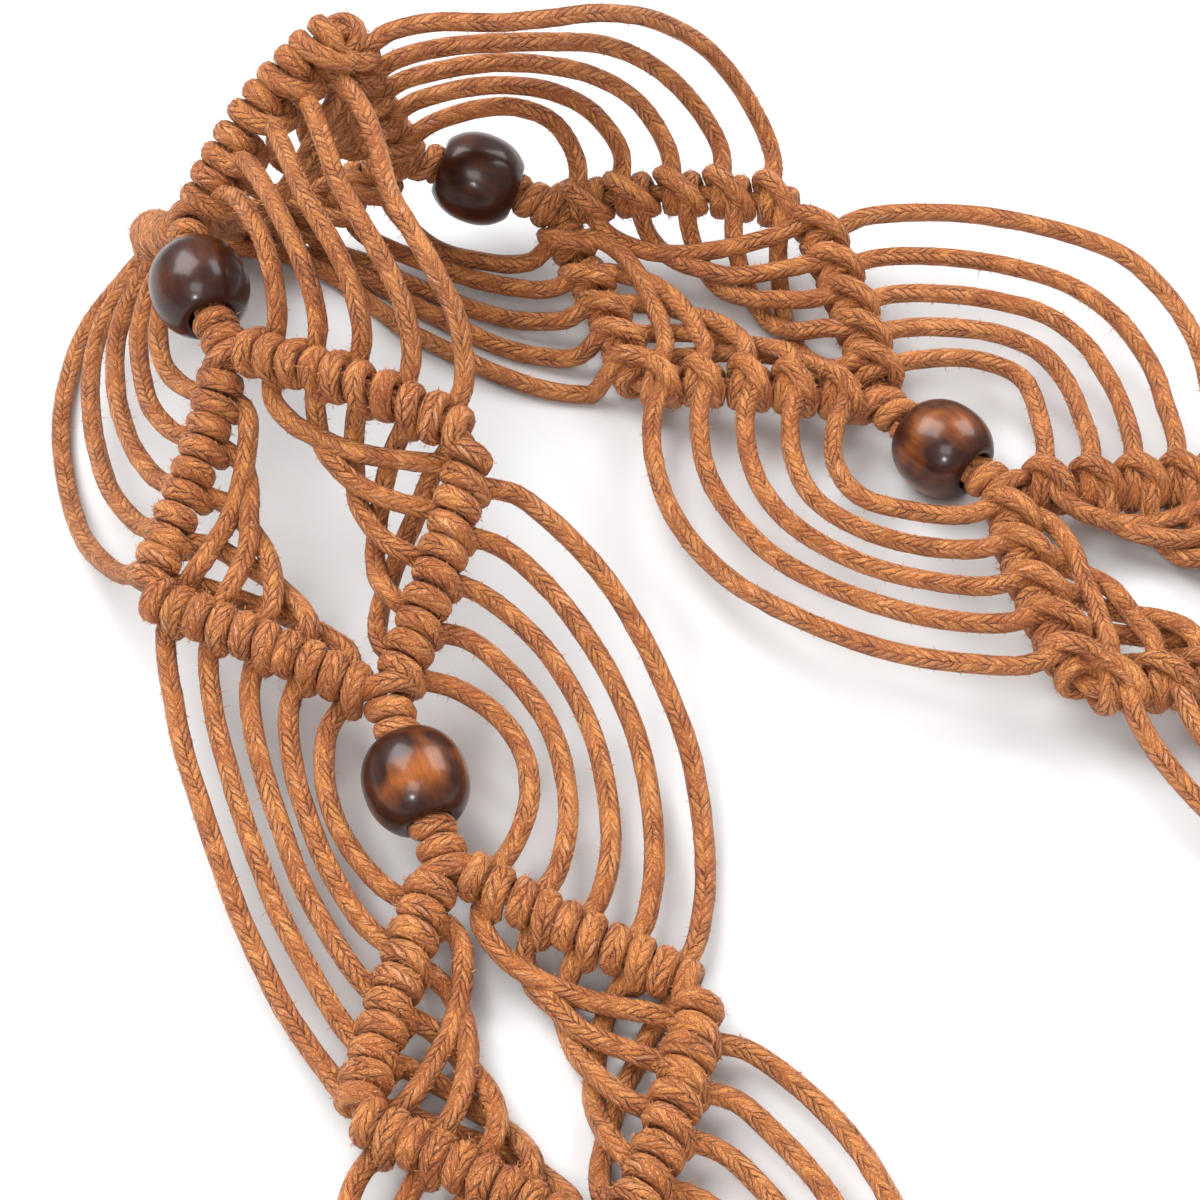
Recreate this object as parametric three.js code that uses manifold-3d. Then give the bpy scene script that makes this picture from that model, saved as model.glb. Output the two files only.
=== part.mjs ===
// Knotted cord belt with wooden beads, lying folded over itself.
// Millimetres, +Z up. Twelve round cords make the belt: two run down the middle
// through every bead, and ten are hitched round them, five on each side.
import * as THREE from 'three';
import { mergeVertices } from 'three/addons/utils/BufferGeometryUtils.js';
import Module from 'manifold-3d';

const wasm = await Module();
wasm.setup();

// Driving sizes
const CORD_DIAMETER = 2.0;
const BEAD_DIAMETER = 10.0;
const BEAD_LENGTH = 9.3;
const BEAD_END_DIAMETER = 7.2;
const BEAD_BAND = 3.0;        // straight middle of the bead's barrel
const BAR_LENGTH = 27.0;      // one side of a diamond, from its tip to its corner
const NECK_LENGTH = 3.5;      // knotted neck between a bead and a diamond's tip
const GATHER_LENGTH = 34.0;   // from the last bead's middle to the wrapped end's middle
const WRAP_LENGTH = 14.0;
const TAIL_LENGTH = 110.0;    // loose ends past the wrapped end
const TAIL_SPREAD = 46.0;     // width of the loose ends where they stop
const CLEARANCE = 0.3;        // between pieces that meet
const HITCHES = 5;            // hitches on each bar, so cords on each side

// Sizes that follow from them
const CORD_RADIUS = CORD_DIAMETER / 2;
const BAR_RADIUS = CORD_RADIUS * 2.7;          // one cord wound round another and pulled tight
const BAR_HALF_HEIGHT = BAR_RADIUS * 0.9;
const CORE_RADIUS = CORD_DIAMETER;             // the two middle cords side by side
const NECK_RADIUS = CORD_RADIUS * 2.6;
const BORE_RADIUS = CORE_RADIUS + CLEARANCE;
const BUNDLE_RADIUS = CORD_DIAMETER * 2;       // all twelve cords gathered
const WRAP_INNER_RADIUS = BUNDLE_RADIUS + CLEARANCE;
const WRAP_RADIUS = WRAP_INNER_RADIUS + CORD_DIAMETER;
const FAN_THICKNESS = CORD_DIAMETER * 1.5;     // two cords where they cross
const TIP = BEAD_LENGTH / 2 + NECK_LENGTH;     // from a bead's middle to the nearest diamond's tip
const STAND_OFF = CLEARANCE * 2.4;             // a slanting cord's end face clears the bar's edge
const LOOP_ROOM = BEAD_DIAMETER * 0.74;        // keeps the innermost loops clear of the bead
const LOWEST_NET = BAR_RADIUS * 1.2;           // the middle of the net over the surface
const LOWEST_LOOP = CORD_RADIUS * 1.1;         // the middle of a loop that hangs down to the surface
const CUP_WIDTH = BAR_LENGTH * 1.5;            // width over which a cup's angle is measured
const GATHER_RING = BUNDLE_RADIUS * 0.8;       // the gathered cords' ends stand in a ring of this radius
const GATHER_FULLNESS = 0.26;                  // their bulge beside the last bead, as a share of their span
const LOCKS = HITCHES + 1;                     // the loose ends of all the cords, in pairs
const LOCK_RADIUS = CORD_DIAMETER * 0.8;
const LOCK_SPREAD = BUNDLE_RADIUS * 0.5;       // how far to each side and up the locks leave the wrapping

// Facets
const BEAD_SIDES = 10;
const WRAP_SIDES = 12;
const BAR_SIDES = 6;
const CORD_SIDES = 4;
const ROUTE_STEPS = 24;       // steps of the middle line between two stations
const LOOP_PARTS = [0, 0.2, 0.5, 0.8, 1];
const GATHER_PARTS = [0, 0.25, 0.65, 1];
const LOCK_PARTS = [0, 0.24, 0.5, 0.76, 1];

// The course of the belt, one row for each bead and each diamond in turn, from the end
// at the back to the end in front. Angles in degrees: heading in plan, climb, roll
// about the belt's length (180 is back face up), and the cup of its cross-section.
const STATIONS = [
  { heading: 168, climb: 0, roll: 180, cup: 0 },    // bead at the back end
  { heading: 167, climb: 0, roll: 180, cup: 0 },
  { heading: 165, climb: 0, roll: 180, cup: 0 },
  { heading: 162, climb: 0, roll: 180, cup: 0 },
  { heading: 158, climb: 0, roll: 180, cup: 0 },
  { heading: 154, climb: 0, roll: 180, cup: 0 },
  { heading: 150, climb: 0, roll: 180, cup: 0 },
  { heading: 147, climb: 0, roll: 186, cup: 0 },
  { heading: 134, climb: 0, roll: 182, cup: 0 },
  { heading: 141, climb: 2, roll: 173, cup: 0 },
  { heading: 169, climb: 17, roll: 111, cup: -60 }, // bead where the belt rises on edge
  { heading: 225, climb: 20, roll: 63, cup: 30 },   // diamond that turns the belt over
  { heading: 289, climb: -4, roll: 54, cup: 60 },   // bead on top of the fold
  { heading: 296, climb: -17, roll: 15, cup: 0 },
  { heading: 290, climb: -14, roll: 0, cup: 0 },
  { heading: 294, climb: -1, roll: -3, cup: 0 },
  { heading: 277, climb: 0, roll: 0, cup: 0 },
  { heading: 272, climb: 0, roll: 0, cup: 0 },
  { heading: 270, climb: 0, roll: 0, cup: 0 },
  { heading: 268, climb: 0, roll: 0, cup: 0 },
  { heading: 266, climb: 0, roll: 0, cup: 0 },
  { heading: 265, climb: 0, roll: 0, cup: 0 },
  { heading: 264, climb: 0, roll: 0, cup: 0 },      // bead at the front end
];

// Half of each diamond's tip angle, in degrees, from back to front.
const OPENINGS = [41, 40, 42, 44, 34, 50, 41, 39, 41, 40, 42];

// How the loops beside each bead lie, from back to front: how full they are where they
// leave one diamond and reach the next, and how far they hang, as shares of their span.
const LOOPS = [
  { right: [0.30, 0.30], left: [0.30, 0.30], rightHang: 0, leftHang: 0 },
  { right: [0.30, 0.30], left: [0.30, 0.30], rightHang: 0, leftHang: 0 },
  { right: [0.30, 0.30], left: [0.30, 0.30], rightHang: 0, leftHang: 0 },
  { right: [0.32, 0.32], left: [0.34, 0.34], rightHang: 0, leftHang: 0 },
  { right: [0.36, 0.44], left: [0.40, 0.42], rightHang: 0, leftHang: 0 },
  { right: [0.28, 0.32], left: [0.22, 0.26], rightHang: 0, leftHang: 0.28 },
  { right: [0.06, 0.42], left: [0.16, 0.18], rightHang: 0, leftHang: 0.16 },
  { right: [0.34, 0.32], left: [0.14, 0.10], rightHang: 0, leftHang: 0 },
  { right: [0.34, 0.32], left: [0.28, 0.28], rightHang: 0, leftHang: 0 },
  { right: [0.30, 0.30], left: [0.30, 0.30], rightHang: 0, leftHang: 0 },
  { right: [0.30, 0.30], left: [0.30, 0.30], rightHang: 0, leftHang: 0 },
  { right: [0.30, 0.30], left: [0.30, 0.30], rightHang: 0, leftHang: 0 },
];

const cordMaterial = new THREE.MeshStandardMaterial({ color: 0xb5692e, roughness: 0.75, metalness: 0 });
const wrapMaterial = new THREE.MeshStandardMaterial({ color: 0xa85c28, roughness: 0.75, metalness: 0 });
const beadMaterial = new THREE.MeshStandardMaterial({ color: 0x3d1c10, roughness: 0.28, metalness: 0 });

// Middle line and frames

const DIAMONDS = OPENINGS.length;
const BEADS = DIAMONDS + 1;
const radians = THREE.MathUtils.degToRad;
const reachAlong = OPENINGS.map((angle) => BAR_LENGTH * Math.cos(radians(angle)));
const reachAcross = OPENINGS.map((angle) => BAR_LENGTH * Math.sin(radians(angle)));

// Smooth value of one column of STATIONS at a place between stations.
function stationValue(column, place) {
  const last = STATIONS.length - 1;
  const row = Math.min(Math.max(Math.floor(place), 0), last - 1);
  const f = place - row;
  const value = (index) => STATIONS[Math.min(Math.max(index, 0), last)][column];
  const slope1 = (value(row + 1) - value(row - 1)) / 2;
  const slope2 = (value(row + 2) - value(row)) / 2;
  return (2 * f ** 3 - 3 * f ** 2 + 1) * value(row) + (f ** 3 - 2 * f ** 2 + f) * slope1
    + (-2 * f ** 3 + 3 * f ** 2) * value(row + 1) + (f ** 3 - f ** 2) * slope2;
}

function direction(place) {
  const heading = radians(stationValue('heading', place));
  const climb = radians(stationValue('climb', place));
  return new THREE.Vector3(
    Math.cos(climb) * Math.cos(heading), Math.cos(climb) * Math.sin(heading), Math.sin(climb));
}

// Points of the middle line, with the distance from the back bead to each. Falls are
// scaled to the rises, so that both ends lie on the same surface, and no bead sinks into it.
function layMiddleLine() {
  const moves = [];
  for (let station = 0; station < 2 * DIAMONDS; station += 1) {
    const length = (reachAlong[Math.floor(station / 2)] + TIP) / ROUTE_STEPS;
    for (let step = 0; step < ROUTE_STEPS; step += 1) {
      moves.push(direction(station + (step + 0.5) / ROUTE_STEPS).multiplyScalar(length));
    }
  }
  const rise = moves.reduce((sum, move) => sum + Math.max(move.z, 0), 0);
  const fall = moves.reduce((sum, move) => sum - Math.min(move.z, 0), 0);
  const lowest = BEAD_DIAMETER / 2;
  const reached = new THREE.Vector3(0, 0, lowest);
  const points = [reached.clone()];
  const distances = [0];
  for (const move of moves) {
    if (move.z < 0) move.z *= rise / fall;
    reached.add(move);
    points.push(reached.clone().setZ(Math.max(reached.z, lowest)));
    distances.push(distances.at(-1) + move.length());
  }
  return { points, distances };
}
const middleLine = layMiddleLine();
const beadDistance = (bead) => middleLine.distances[2 * bead * ROUTE_STEPS];

// Place and frame on the middle line at a distance from the back bead. Past either
// end the line runs on straight and level.
function frameAt(distance) {
  const { points, distances } = middleLine;
  const last = distances.length - 1;
  let index = distances.findIndex((value) => value > distance) - 1;
  if (distance >= distances[last]) index = last - 1;
  index = Math.max(index, 0);
  const f = (distance - distances[index]) / (distances[index + 1] - distances[index]);
  const centre = points[index].clone().lerp(points[index + 1], f);
  const place = Math.min(Math.max((index + f) / ROUTE_STEPS, 0), 2 * DIAMONDS);
  const along = direction(place);
  const heading = radians(stationValue('heading', place));
  const level = new THREE.Vector3(-Math.sin(heading), Math.cos(heading), 0);
  const across = level.applyAxisAngle(along, radians(stationValue('roll', place)));
  const out = new THREE.Vector3().crossVectors(along, across);
  return { centre, along, across, out, cup: radians(stationValue('cup', place)) };
}

// A point of the belt: distance along it, distance across it, and height over its face.
// Where the net would sink into the surface that it lies on, it is pushed up from it.
function onBelt(distance, lateral, height = 0) {
  const { centre, across, out, cup } = frameAt(distance);
  const bend = cup / CUP_WIDTH;
  const curved = bend !== 0;
  const turn = bend * lateral;
  const acrossPart = curved ? Math.sin(turn) / bend : lateral;
  const outPart = curved ? (1 - Math.cos(turn)) / bend : 0;
  centre.addScaledVector(across, acrossPart).addScaledVector(out, outPart);
  centre.z = Math.max(centre.z, LOWEST_NET);
  return centre.addScaledVector(across, -height * Math.sin(turn))
    .addScaledVector(out, height * Math.cos(turn));
}

// Solids

function solidOf(geometry) {
  geometry.deleteAttribute('normal');
  geometry.deleteAttribute('uv');
  const merged = mergeVertices(geometry, 1e-4);
  return new wasm.Manifold(new wasm.Mesh({
    numProp: 3,
    vertProperties: new Float32Array(merged.attributes.position.array),
    triVerts: new Uint32Array(merged.index.array),
  }));
}

function geometryOf(solid) {
  const mesh = solid.getMesh();
  const geometry = new THREE.BufferGeometry();
  geometry.setAttribute('position', new THREE.BufferAttribute(mesh.vertProperties, 3));
  geometry.setIndex(new THREE.BufferAttribute(mesh.triVerts, 1));
  const flat = geometry.toNonIndexed();
  flat.computeVertexNormals();
  return flat;
}

function polygon(radius, sides) {
  const corners = [];
  for (let side = 0; side < sides; side += 1) {
    const angle = (2 * Math.PI * (side + 0.5)) / sides;
    corners.push(new THREE.Vector2(radius * Math.cos(angle), radius * Math.sin(angle)));
  }
  return new THREE.Shape(corners);
}

// A cord through the given points.
function cordThrough(points, radius) {
  const extrudePath = new THREE.CatmullRomCurve3(points, false, 'centripetal');
  return solidOf(new THREE.ExtrudeGeometry(polygon(radius, CORD_SIDES), { extrudePath, steps: points.length - 1 }));
}

// The ring of a diamond: four bars of hitches, with the cords that cross inside each
// side as one sheet. Each cord runs from one bar to the next, so the sheet's free edge
// is the curve that they all touch. Shares run from 0 at the first tip through 1 at the
// corners to 2 at the second tip, up one side and back down the other.
const RING_SHARES = [2, 1.7, 1.35, 1, 0.65, 0.3, 0, 0.3, 0.65, 1, 1.35, 1.7, 2];
const RING_SECTION = 7;
function diamondRing(diamond) {
  const start = beadDistance(diamond) + TIP;
  const along = reachAlong[diamond];
  const across = reachAcross[diamond];
  const width = BAR_RADIUS / Math.cos(radians(OPENINGS[diamond]));
  const inner = BAR_RADIUS / Math.sin(radians(OPENINGS[diamond]));
  const low = FAN_THICKNESS / 2;
  const stations = RING_SHARES.length - 1;
  const geometry = new THREE.TorusGeometry(2, 1, RING_SECTION, stations);
  const place = geometry.attributes.position;
  for (let index = 0; index < place.count; index += 1) {
    const station = index % (stations + 1);
    const corner = Math.floor(index / (stations + 1)) % RING_SECTION;
    const share = RING_SHARES[station];
    const side = station <= stations / 2 ? 1 : -1;
    const bar = across * (1 - Math.abs(1 - share));
    const edge = Math.min(across * share * (1 - share / 2), bar - width / 2 - CLEARANCE);
    const blunt = share === 1 ? width / 2 : width;
    const sideways = [bar + blunt, bar + width / 2, bar - width / 2, edge, edge, bar - width / 2, bar + width / 2];
    const inwards = [-CORD_RADIUS, -CORD_RADIUS / 2, inner / 2, inner, inner, inner / 2, -CORD_RADIUS / 2];
    const height = [0, BAR_HALF_HEIGHT, BAR_HALF_HEIGHT, low, -low, -BAR_HALF_HEIGHT, -BAR_HALF_HEIGHT][corner];
    const atTip = share === 0 || share === 2;
    const distance = along * share + (atTip ? (1 - share) * inwards[corner] : 0);
    const point = onBelt(start + distance, atTip ? 0 : side * sideways[corner], height);
    place.setXYZ(index, point.x, point.y, point.z);
  }
  return solidOf(geometry);
}

// Shape of a loop beside a bead, from hitch to hitch, in belt distances.
function loopCurve(bead, side, hitch) {
  const share = (hitch + 0.5) / HITCHES;
  const loops = LOOPS[bead];
  const [leave, reach] = side > 0 ? loops.right : loops.left;
  const before = Math.max(bead - 1, 0);
  const after = Math.min(bead, DIAMONDS - 1);
  const from = new THREE.Vector2(-TIP - reachAlong[before] * share, reachAcross[before] * share);
  const to = new THREE.Vector2(TIP + reachAlong[after] * share, reachAcross[after] * share);
  const span = from.distanceTo(to);
  const room = LOOP_ROOM * (1 - share) ** 2;
  const slope0 = radians(OPENINGS[before]);
  const slope1 = radians(OPENINGS[after]);
  const out0 = new THREE.Vector2(Math.sin(slope0), Math.cos(slope0));
  const out1 = new THREE.Vector2(-Math.sin(slope1), Math.cos(slope1));
  const control0 = from.clone().addScaledVector(out0, leave * span + room);
  const control1 = to.clone().addScaledVector(out1, reach * span + room);
  return { curve: new THREE.CubicBezierCurve(from, control0, control1, to), span, share };
}

// A loop runs from just clear of the diamond before its bead to the heart of the
// diamond after it.
function loop(bead, side, hitch) {
  const { curve, span, share } = loopCurve(bead, side, hitch);
  const hang = (side > 0 ? LOOPS[bead].rightHang : LOOPS[bead].leftHang) * span * share ** 2;
  const first = (BAR_RADIUS + STAND_OFF) / curve.getLength();
  const points = [];
  for (const part of LOOP_PARTS) {
    const along = first + (1 - first) * part;
    const flat = curve.getPointAt(along);
    const point = onBelt(beadDistance(bead) + flat.x, side * flat.y);
    point.z = Math.max(point.z - hang * 4 * along * (1 - along), LOWEST_LOOP);
    points.push(point);
  }
  return cordThrough(points, CORD_RADIUS);
}

// A round piece turned about a straight line from one point towards another. The
// profile holds distances along the line, each with its radius.
function turned(from, towards, profile, sides) {
  const points = [[profile[0][0], 0], ...profile, [profile.at(-1)[0], 0]]
    .map(([height, radius]) => new THREE.Vector2(radius, height));
  const geometry = new THREE.LatheGeometry(points, sides);
  geometry.applyQuaternion(new THREE.Quaternion().setFromUnitVectors(
    new THREE.Vector3(0, 1, 0), towards.clone().normalize()));
  geometry.translate(from.x, from.y, from.z);
  return solidOf(geometry);
}

// The two middle cords from one diamond's tip to the next: straight through the bead's
// bore, with a knotted neck at each end of it.
const CORE_ROWS = [
  { distance: -TIP + CORD_RADIUS + CLEARANCE, radius: NECK_RADIUS },
  { distance: -BEAD_LENGTH / 2 - 2 * CLEARANCE, radius: NECK_RADIUS },
  { distance: -BEAD_LENGTH / 2 - CLEARANCE, radius: CORE_RADIUS },
  { distance: BEAD_LENGTH / 2 + CLEARANCE, radius: CORE_RADIUS },
  { distance: BEAD_LENGTH / 2 + 2 * CLEARANCE, radius: NECK_RADIUS },
  { distance: TIP - CORD_RADIUS - CLEARANCE, radius: NECK_RADIUS },
];
function coreSolid(bead) {
  const steps = CORE_ROWS.length - 1;
  const geometry = new THREE.ExtrudeGeometry(polygon(1, BAR_SIDES), { depth: steps, steps, bevelEnabled: false });
  const middle = frameAt(beadDistance(bead));
  const place = geometry.attributes.position;
  for (let index = 0; index < place.count; index += 1) {
    const { distance, radius } = CORE_ROWS[Math.round(place.getZ(index))];
    const beyond = Math.abs(distance) > BEAD_LENGTH / 2 + 3 * CLEARANCE;
    const frame = beyond ? frameAt(beadDistance(bead) + distance) : middle;
    const centre = beyond ? frame.centre : middle.centre.clone().addScaledVector(middle.along, distance);
    const point = centre.addScaledVector(frame.across, place.getX(index) * radius)
      .addScaledVector(frame.out, place.getY(index) * radius);
    place.setXYZ(index, point.x, point.y, point.z);
  }
  return solidOf(geometry);
}

function diamondSolid(diamond) {
  let solid = diamondRing(diamond);
  for (const side of [1, -1]) {
    for (let hitch = 0; diamond > 0 && hitch < HITCHES; hitch += 1) {
      solid = solid.add(loop(diamond, side, hitch));
    }
  }
  return solid;
}

function beadGeometry() {
  const flats = 1 / Math.cos(Math.PI / BEAD_SIDES);
  const half = BEAD_LENGTH / 2;
  const profile = [
    [BORE_RADIUS, -half], [BEAD_END_DIAMETER / 2, -half], [BEAD_DIAMETER / 2, -BEAD_BAND / 2],
    [BEAD_DIAMETER / 2, BEAD_BAND / 2], [BEAD_END_DIAMETER / 2, half], [BORE_RADIUS, half],
    [BORE_RADIUS, -half],
  ].map(([radius, height]) => new THREE.Vector2(radius * flats, height));
  return new THREE.LatheGeometry(profile, BEAD_SIDES);
}

// Turns a lathed piece so that its axis lies along the belt and one facet is undermost.
function alongBelt(along, sides) {
  const up = new THREE.Vector3(0, 0, 1);
  const across = new THREE.Vector3().crossVectors(along, up).normalize();
  const over = new THREE.Vector3().crossVectors(across, along);
  const basis = new THREE.Matrix4().makeBasis(across, along, over);
  return new THREE.Quaternion().setFromRotationMatrix(basis)
    .multiply(new THREE.Quaternion().setFromAxisAngle(new THREE.Vector3(0, 1, 0), Math.PI / sides));
}

// The wrapped end and the loose ends. forward is 1 at the front end and -1 at the back.
function endFrame(forward) {
  const bead = forward > 0 ? BEADS - 1 : 0;
  const { centre, along } = frameAt(beadDistance(bead));
  const ahead = along.clone().setZ(0).normalize().multiplyScalar(forward);
  const beside = new THREE.Vector3(-ahead.y, ahead.x, 0);
  const middle = centre.clone().addScaledVector(ahead, GATHER_LENGTH);
  middle.z = WRAP_RADIUS;
  return { bead, centre, ahead, beside, middle };
}

// Cords from the last diamond's hitches round the last bead into the wrapped end. Their
// ends stand in a ring on the head, those from the diamond's tip innermost.
function gatheredCord(end, side, hitch) {
  const diamond = end.bead === 0 ? 0 : DIAMONDS - 1;
  const share = (hitch + 0.5) / HITCHES;
  const slope = radians(OPENINGS[diamond]);
  const turn = Math.PI * (share - 0.5);
  const from = new THREE.Vector2(-TIP - reachAlong[diamond] * share, reachAcross[diamond] * share);
  const to = new THREE.Vector2(GATHER_LENGTH - WRAP_LENGTH / 2, GATHER_RING * Math.cos(turn));
  const handle = GATHER_FULLNESS * from.distanceTo(to) + LOOP_ROOM * (1 - share) ** 2;
  const control0 = from.clone().add(new THREE.Vector2(Math.sin(slope), Math.cos(slope)).multiplyScalar(handle));
  const control1 = to.clone().add(new THREE.Vector2(-WRAP_LENGTH, LOOP_ROOM * (1 - share) + BUNDLE_RADIUS * share));
  const curve = new THREE.CubicBezierCurve(from, control0, control1, to);
  const first = (BAR_RADIUS + STAND_OFF) / curve.getLength();
  const points = [];
  for (const part of GATHER_PARTS) {
    const flat = curve.getPointAt(first + (1 - first) * part);
    const rise = (end.middle.z - end.centre.z + GATHER_RING * Math.sin(turn)) * part ** 2;
    points.push(end.centre.clone().addScaledVector(end.ahead, flat.x)
      .addScaledVector(end.beside, side * flat.y).add(new THREE.Vector3(0, 0, rise)));
  }
  return cordThrough(points, CORD_RADIUS);
}

// Loose ends in pairs. Each lock leaves the head, comes down and lies on the surface,
// with a slight wave on its way out to its place. Some are a little shorter than others.
function lock(end, index) {
  const middle = (LOCKS - 1) / 2;
  const sideways = (index - middle) / middle;
  const upper = index % 2 === 0 ? 1 : -1;
  const length = TAIL_LENGTH * (1 - 0.04 * ((index * 2) % 5));
  const exit = end.middle.clone().addScaledVector(end.ahead, WRAP_LENGTH / 2 + CLEARANCE);
  const points = LOCK_PARTS.map((part) => {
    const wave = upper * CORD_RADIUS * Math.sin(2 * Math.PI * part);
    const lateral = sideways * (LOCK_SPREAD * (1 - part) + (TAIL_SPREAD / 2) * part) + wave;
    return exit.clone().addScaledVector(end.ahead, length * part)
      .addScaledVector(end.beside, lateral)
      .setZ(part === 0 ? end.middle.z + upper * LOCK_SPREAD : LOCK_RADIUS);
  });
  return cordThrough(points, LOCK_RADIUS);
}

function tasselSolid(forward) {
  const end = endFrame(forward);
  const half = WRAP_LENGTH / 2 + CORD_DIAMETER;
  const core = [[TIP, CORE_RADIUS], [GATHER_LENGTH - WRAP_LENGTH / 2, CORE_RADIUS]];
  let solid = turned(end.middle, end.ahead, [[-half, BUNDLE_RADIUS], [half, BUNDLE_RADIUS]], BEAD_SIDES)
    .add(turned(end.centre, end.ahead, core, BAR_SIDES));
  for (const side of [1, -1]) {
    for (let hitch = 0; hitch < HITCHES; hitch += 1) solid = solid.add(gatheredCord(end, side, hitch));
  }
  for (let index = 0; index < LOCKS; index += 1) solid = solid.add(lock(end, index));
  return solid;
}

function wrapGeometry() {
  const flats = 1 / Math.cos(Math.PI / WRAP_SIDES);
  const half = WRAP_LENGTH / 2;
  const round = CORD_RADIUS / 2;
  const profile = [
    [WRAP_INNER_RADIUS, -half], [WRAP_RADIUS - round, -half], [WRAP_RADIUS, round - half],
    [WRAP_RADIUS, half - round], [WRAP_RADIUS - round, half], [WRAP_INNER_RADIUS, half],
    [WRAP_INNER_RADIUS, -half],
  ].map(([radius, height]) => new THREE.Vector2(radius * flats, height));
  return new THREE.LatheGeometry(profile, WRAP_SIDES);
}

// Assembly

const belt = new THREE.Group();
const number = (index) => String(index + 1).padStart(2, '0');

function addPiece(name, geometry, material) {
  const piece = new THREE.Mesh(geometry, material);
  piece.name = name;
  belt.add(piece);
  return piece;
}

for (let diamond = 0; diamond < DIAMONDS; diamond += 1) {
  addPiece(`diamond_${number(diamond)}`, geometryOf(diamondSolid(diamond)), cordMaterial);
}

for (let bead = 0; bead < BEADS; bead += 1) {
  const { centre, along } = frameAt(beadDistance(bead));
  const piece = addPiece(`bead_${number(bead)}`, beadGeometry(), beadMaterial);
  piece.position.copy(centre);
  piece.quaternion.copy(alongBelt(along, BEAD_SIDES));
  addPiece(`core_${number(bead)}`, geometryOf(coreSolid(bead)), cordMaterial);
}

for (const [forward, name] of [[-1, 'back'], [1, 'front']]) {
  const end = endFrame(forward);
  addPiece(`tassel_${name}`, geometryOf(tasselSolid(forward)), cordMaterial);
  const wrap = addPiece(`wrap_${name}`, wrapGeometry(), wrapMaterial);
  wrap.position.copy(end.middle);
  wrap.quaternion.copy(alongBelt(end.ahead, WRAP_SIDES));
}

// The origin is the middle of the belt's footprint, on the surface it lies on.
belt.updateMatrixWorld(true);
const box = new THREE.Box3().setFromObject(belt, true);
const footprint = box.getCenter(new THREE.Vector3());
belt.position.set(-footprint.x, -footprint.y, -box.min.z);

export default belt;
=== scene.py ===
# %% [markdown]
# # A knotted cord belt with wooden beads
# The belt is macramé: twelve long cords and nothing else, apart from its beads. Two cords
# run down the middle. They go through a bead side by side, knot round each other, part to
# make the four bars of a diamond, and meet again at the next bead. Ten more cords, five on
# each side, are hitched round them. This lesson rebuilds every cord as one unbroken tube
# that really goes round, over and under the others, and then gives it its braid and wax.

# %% Open the frame
import math

import bpy
import numpy as np
from mathutils import Matrix, Vector


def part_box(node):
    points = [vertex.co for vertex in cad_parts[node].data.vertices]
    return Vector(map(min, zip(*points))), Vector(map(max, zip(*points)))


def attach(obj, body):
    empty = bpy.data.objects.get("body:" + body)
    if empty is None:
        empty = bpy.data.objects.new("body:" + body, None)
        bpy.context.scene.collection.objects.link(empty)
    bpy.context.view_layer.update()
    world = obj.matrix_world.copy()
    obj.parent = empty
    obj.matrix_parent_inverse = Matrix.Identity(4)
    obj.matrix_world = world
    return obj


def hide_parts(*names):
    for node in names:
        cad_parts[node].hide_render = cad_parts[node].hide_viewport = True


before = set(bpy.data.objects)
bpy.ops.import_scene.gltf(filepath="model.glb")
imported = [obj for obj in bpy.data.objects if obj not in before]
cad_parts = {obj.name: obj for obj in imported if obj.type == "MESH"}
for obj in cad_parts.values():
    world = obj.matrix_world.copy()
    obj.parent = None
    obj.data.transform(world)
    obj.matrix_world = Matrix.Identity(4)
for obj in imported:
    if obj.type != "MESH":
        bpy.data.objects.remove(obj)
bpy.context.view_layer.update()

# %% [markdown]
# ## Sizes
# All lengths are worked out in millimetres, like a maker would measure them, and turned
# into metres when a mesh is made. The first block is the same as the model's own sizes.
# The last block says how tightly the cords lie round each other: a cord that is pulled
# round another gets flatter and wider, so a bar is less than three cords thick.

# %% Sizes of the belt
CORD_DIAMETER = 2.0
BEAD_DIAMETER = 10.0
BEAD_LENGTH = 9.3
BAR_LENGTH = 27.0
NECK_LENGTH = 3.5
GATHER_LENGTH = 34.0
WRAP_LENGTH = 14.0
TAIL_LENGTH = 110.0
TAIL_SPREAD = 46.0
HITCHES = 5
BORE_RADIUS = 2.0
COLLAR_INNER_RADIUS = 4.3

CORD_RADIUS = CORD_DIAMETER / 2
BUNDLE_RING = 3.2
TIP = BEAD_LENGTH / 2 + NECK_LENGTH
LOWEST_NET = 3.24
CUP_WIDTH = 1.5 * BAR_LENGTH
LOOP_ROOM = 7.4
METRES = 0.001

CORE_CORD_RADIUS = 0.95
WRAP_REACH = 1.62
BACK_REACH = 3.3
FIRST_HITCH = 2.2
LAST_HITCH = 0.4
CORNER_ROUNDING = 0.07
print("tip of a diamond is", TIP, "mm from the middle of its bead")

# %% [markdown]
# ## Camera
# The photograph looks down on the belt at about fifty degrees from close by, so near
# loops look larger than far ones. The camera comes first, because everything after it
# is judged through it. It is aimed from one bead, whose place is known.

# %% Camera
CAMERA_ELEVATION = math.radians(50.6)
CAMERA_DISTANCE = 0.306
CAMERA_LENS = 91.5
AIM_FROM_BEAD = (-0.0351, -0.0160, -0.0049)


def middle_of(box):
    """Middle of a box that is given by its two corners."""
    return np.mean([list(corner) for corner in box], axis=0)


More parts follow.
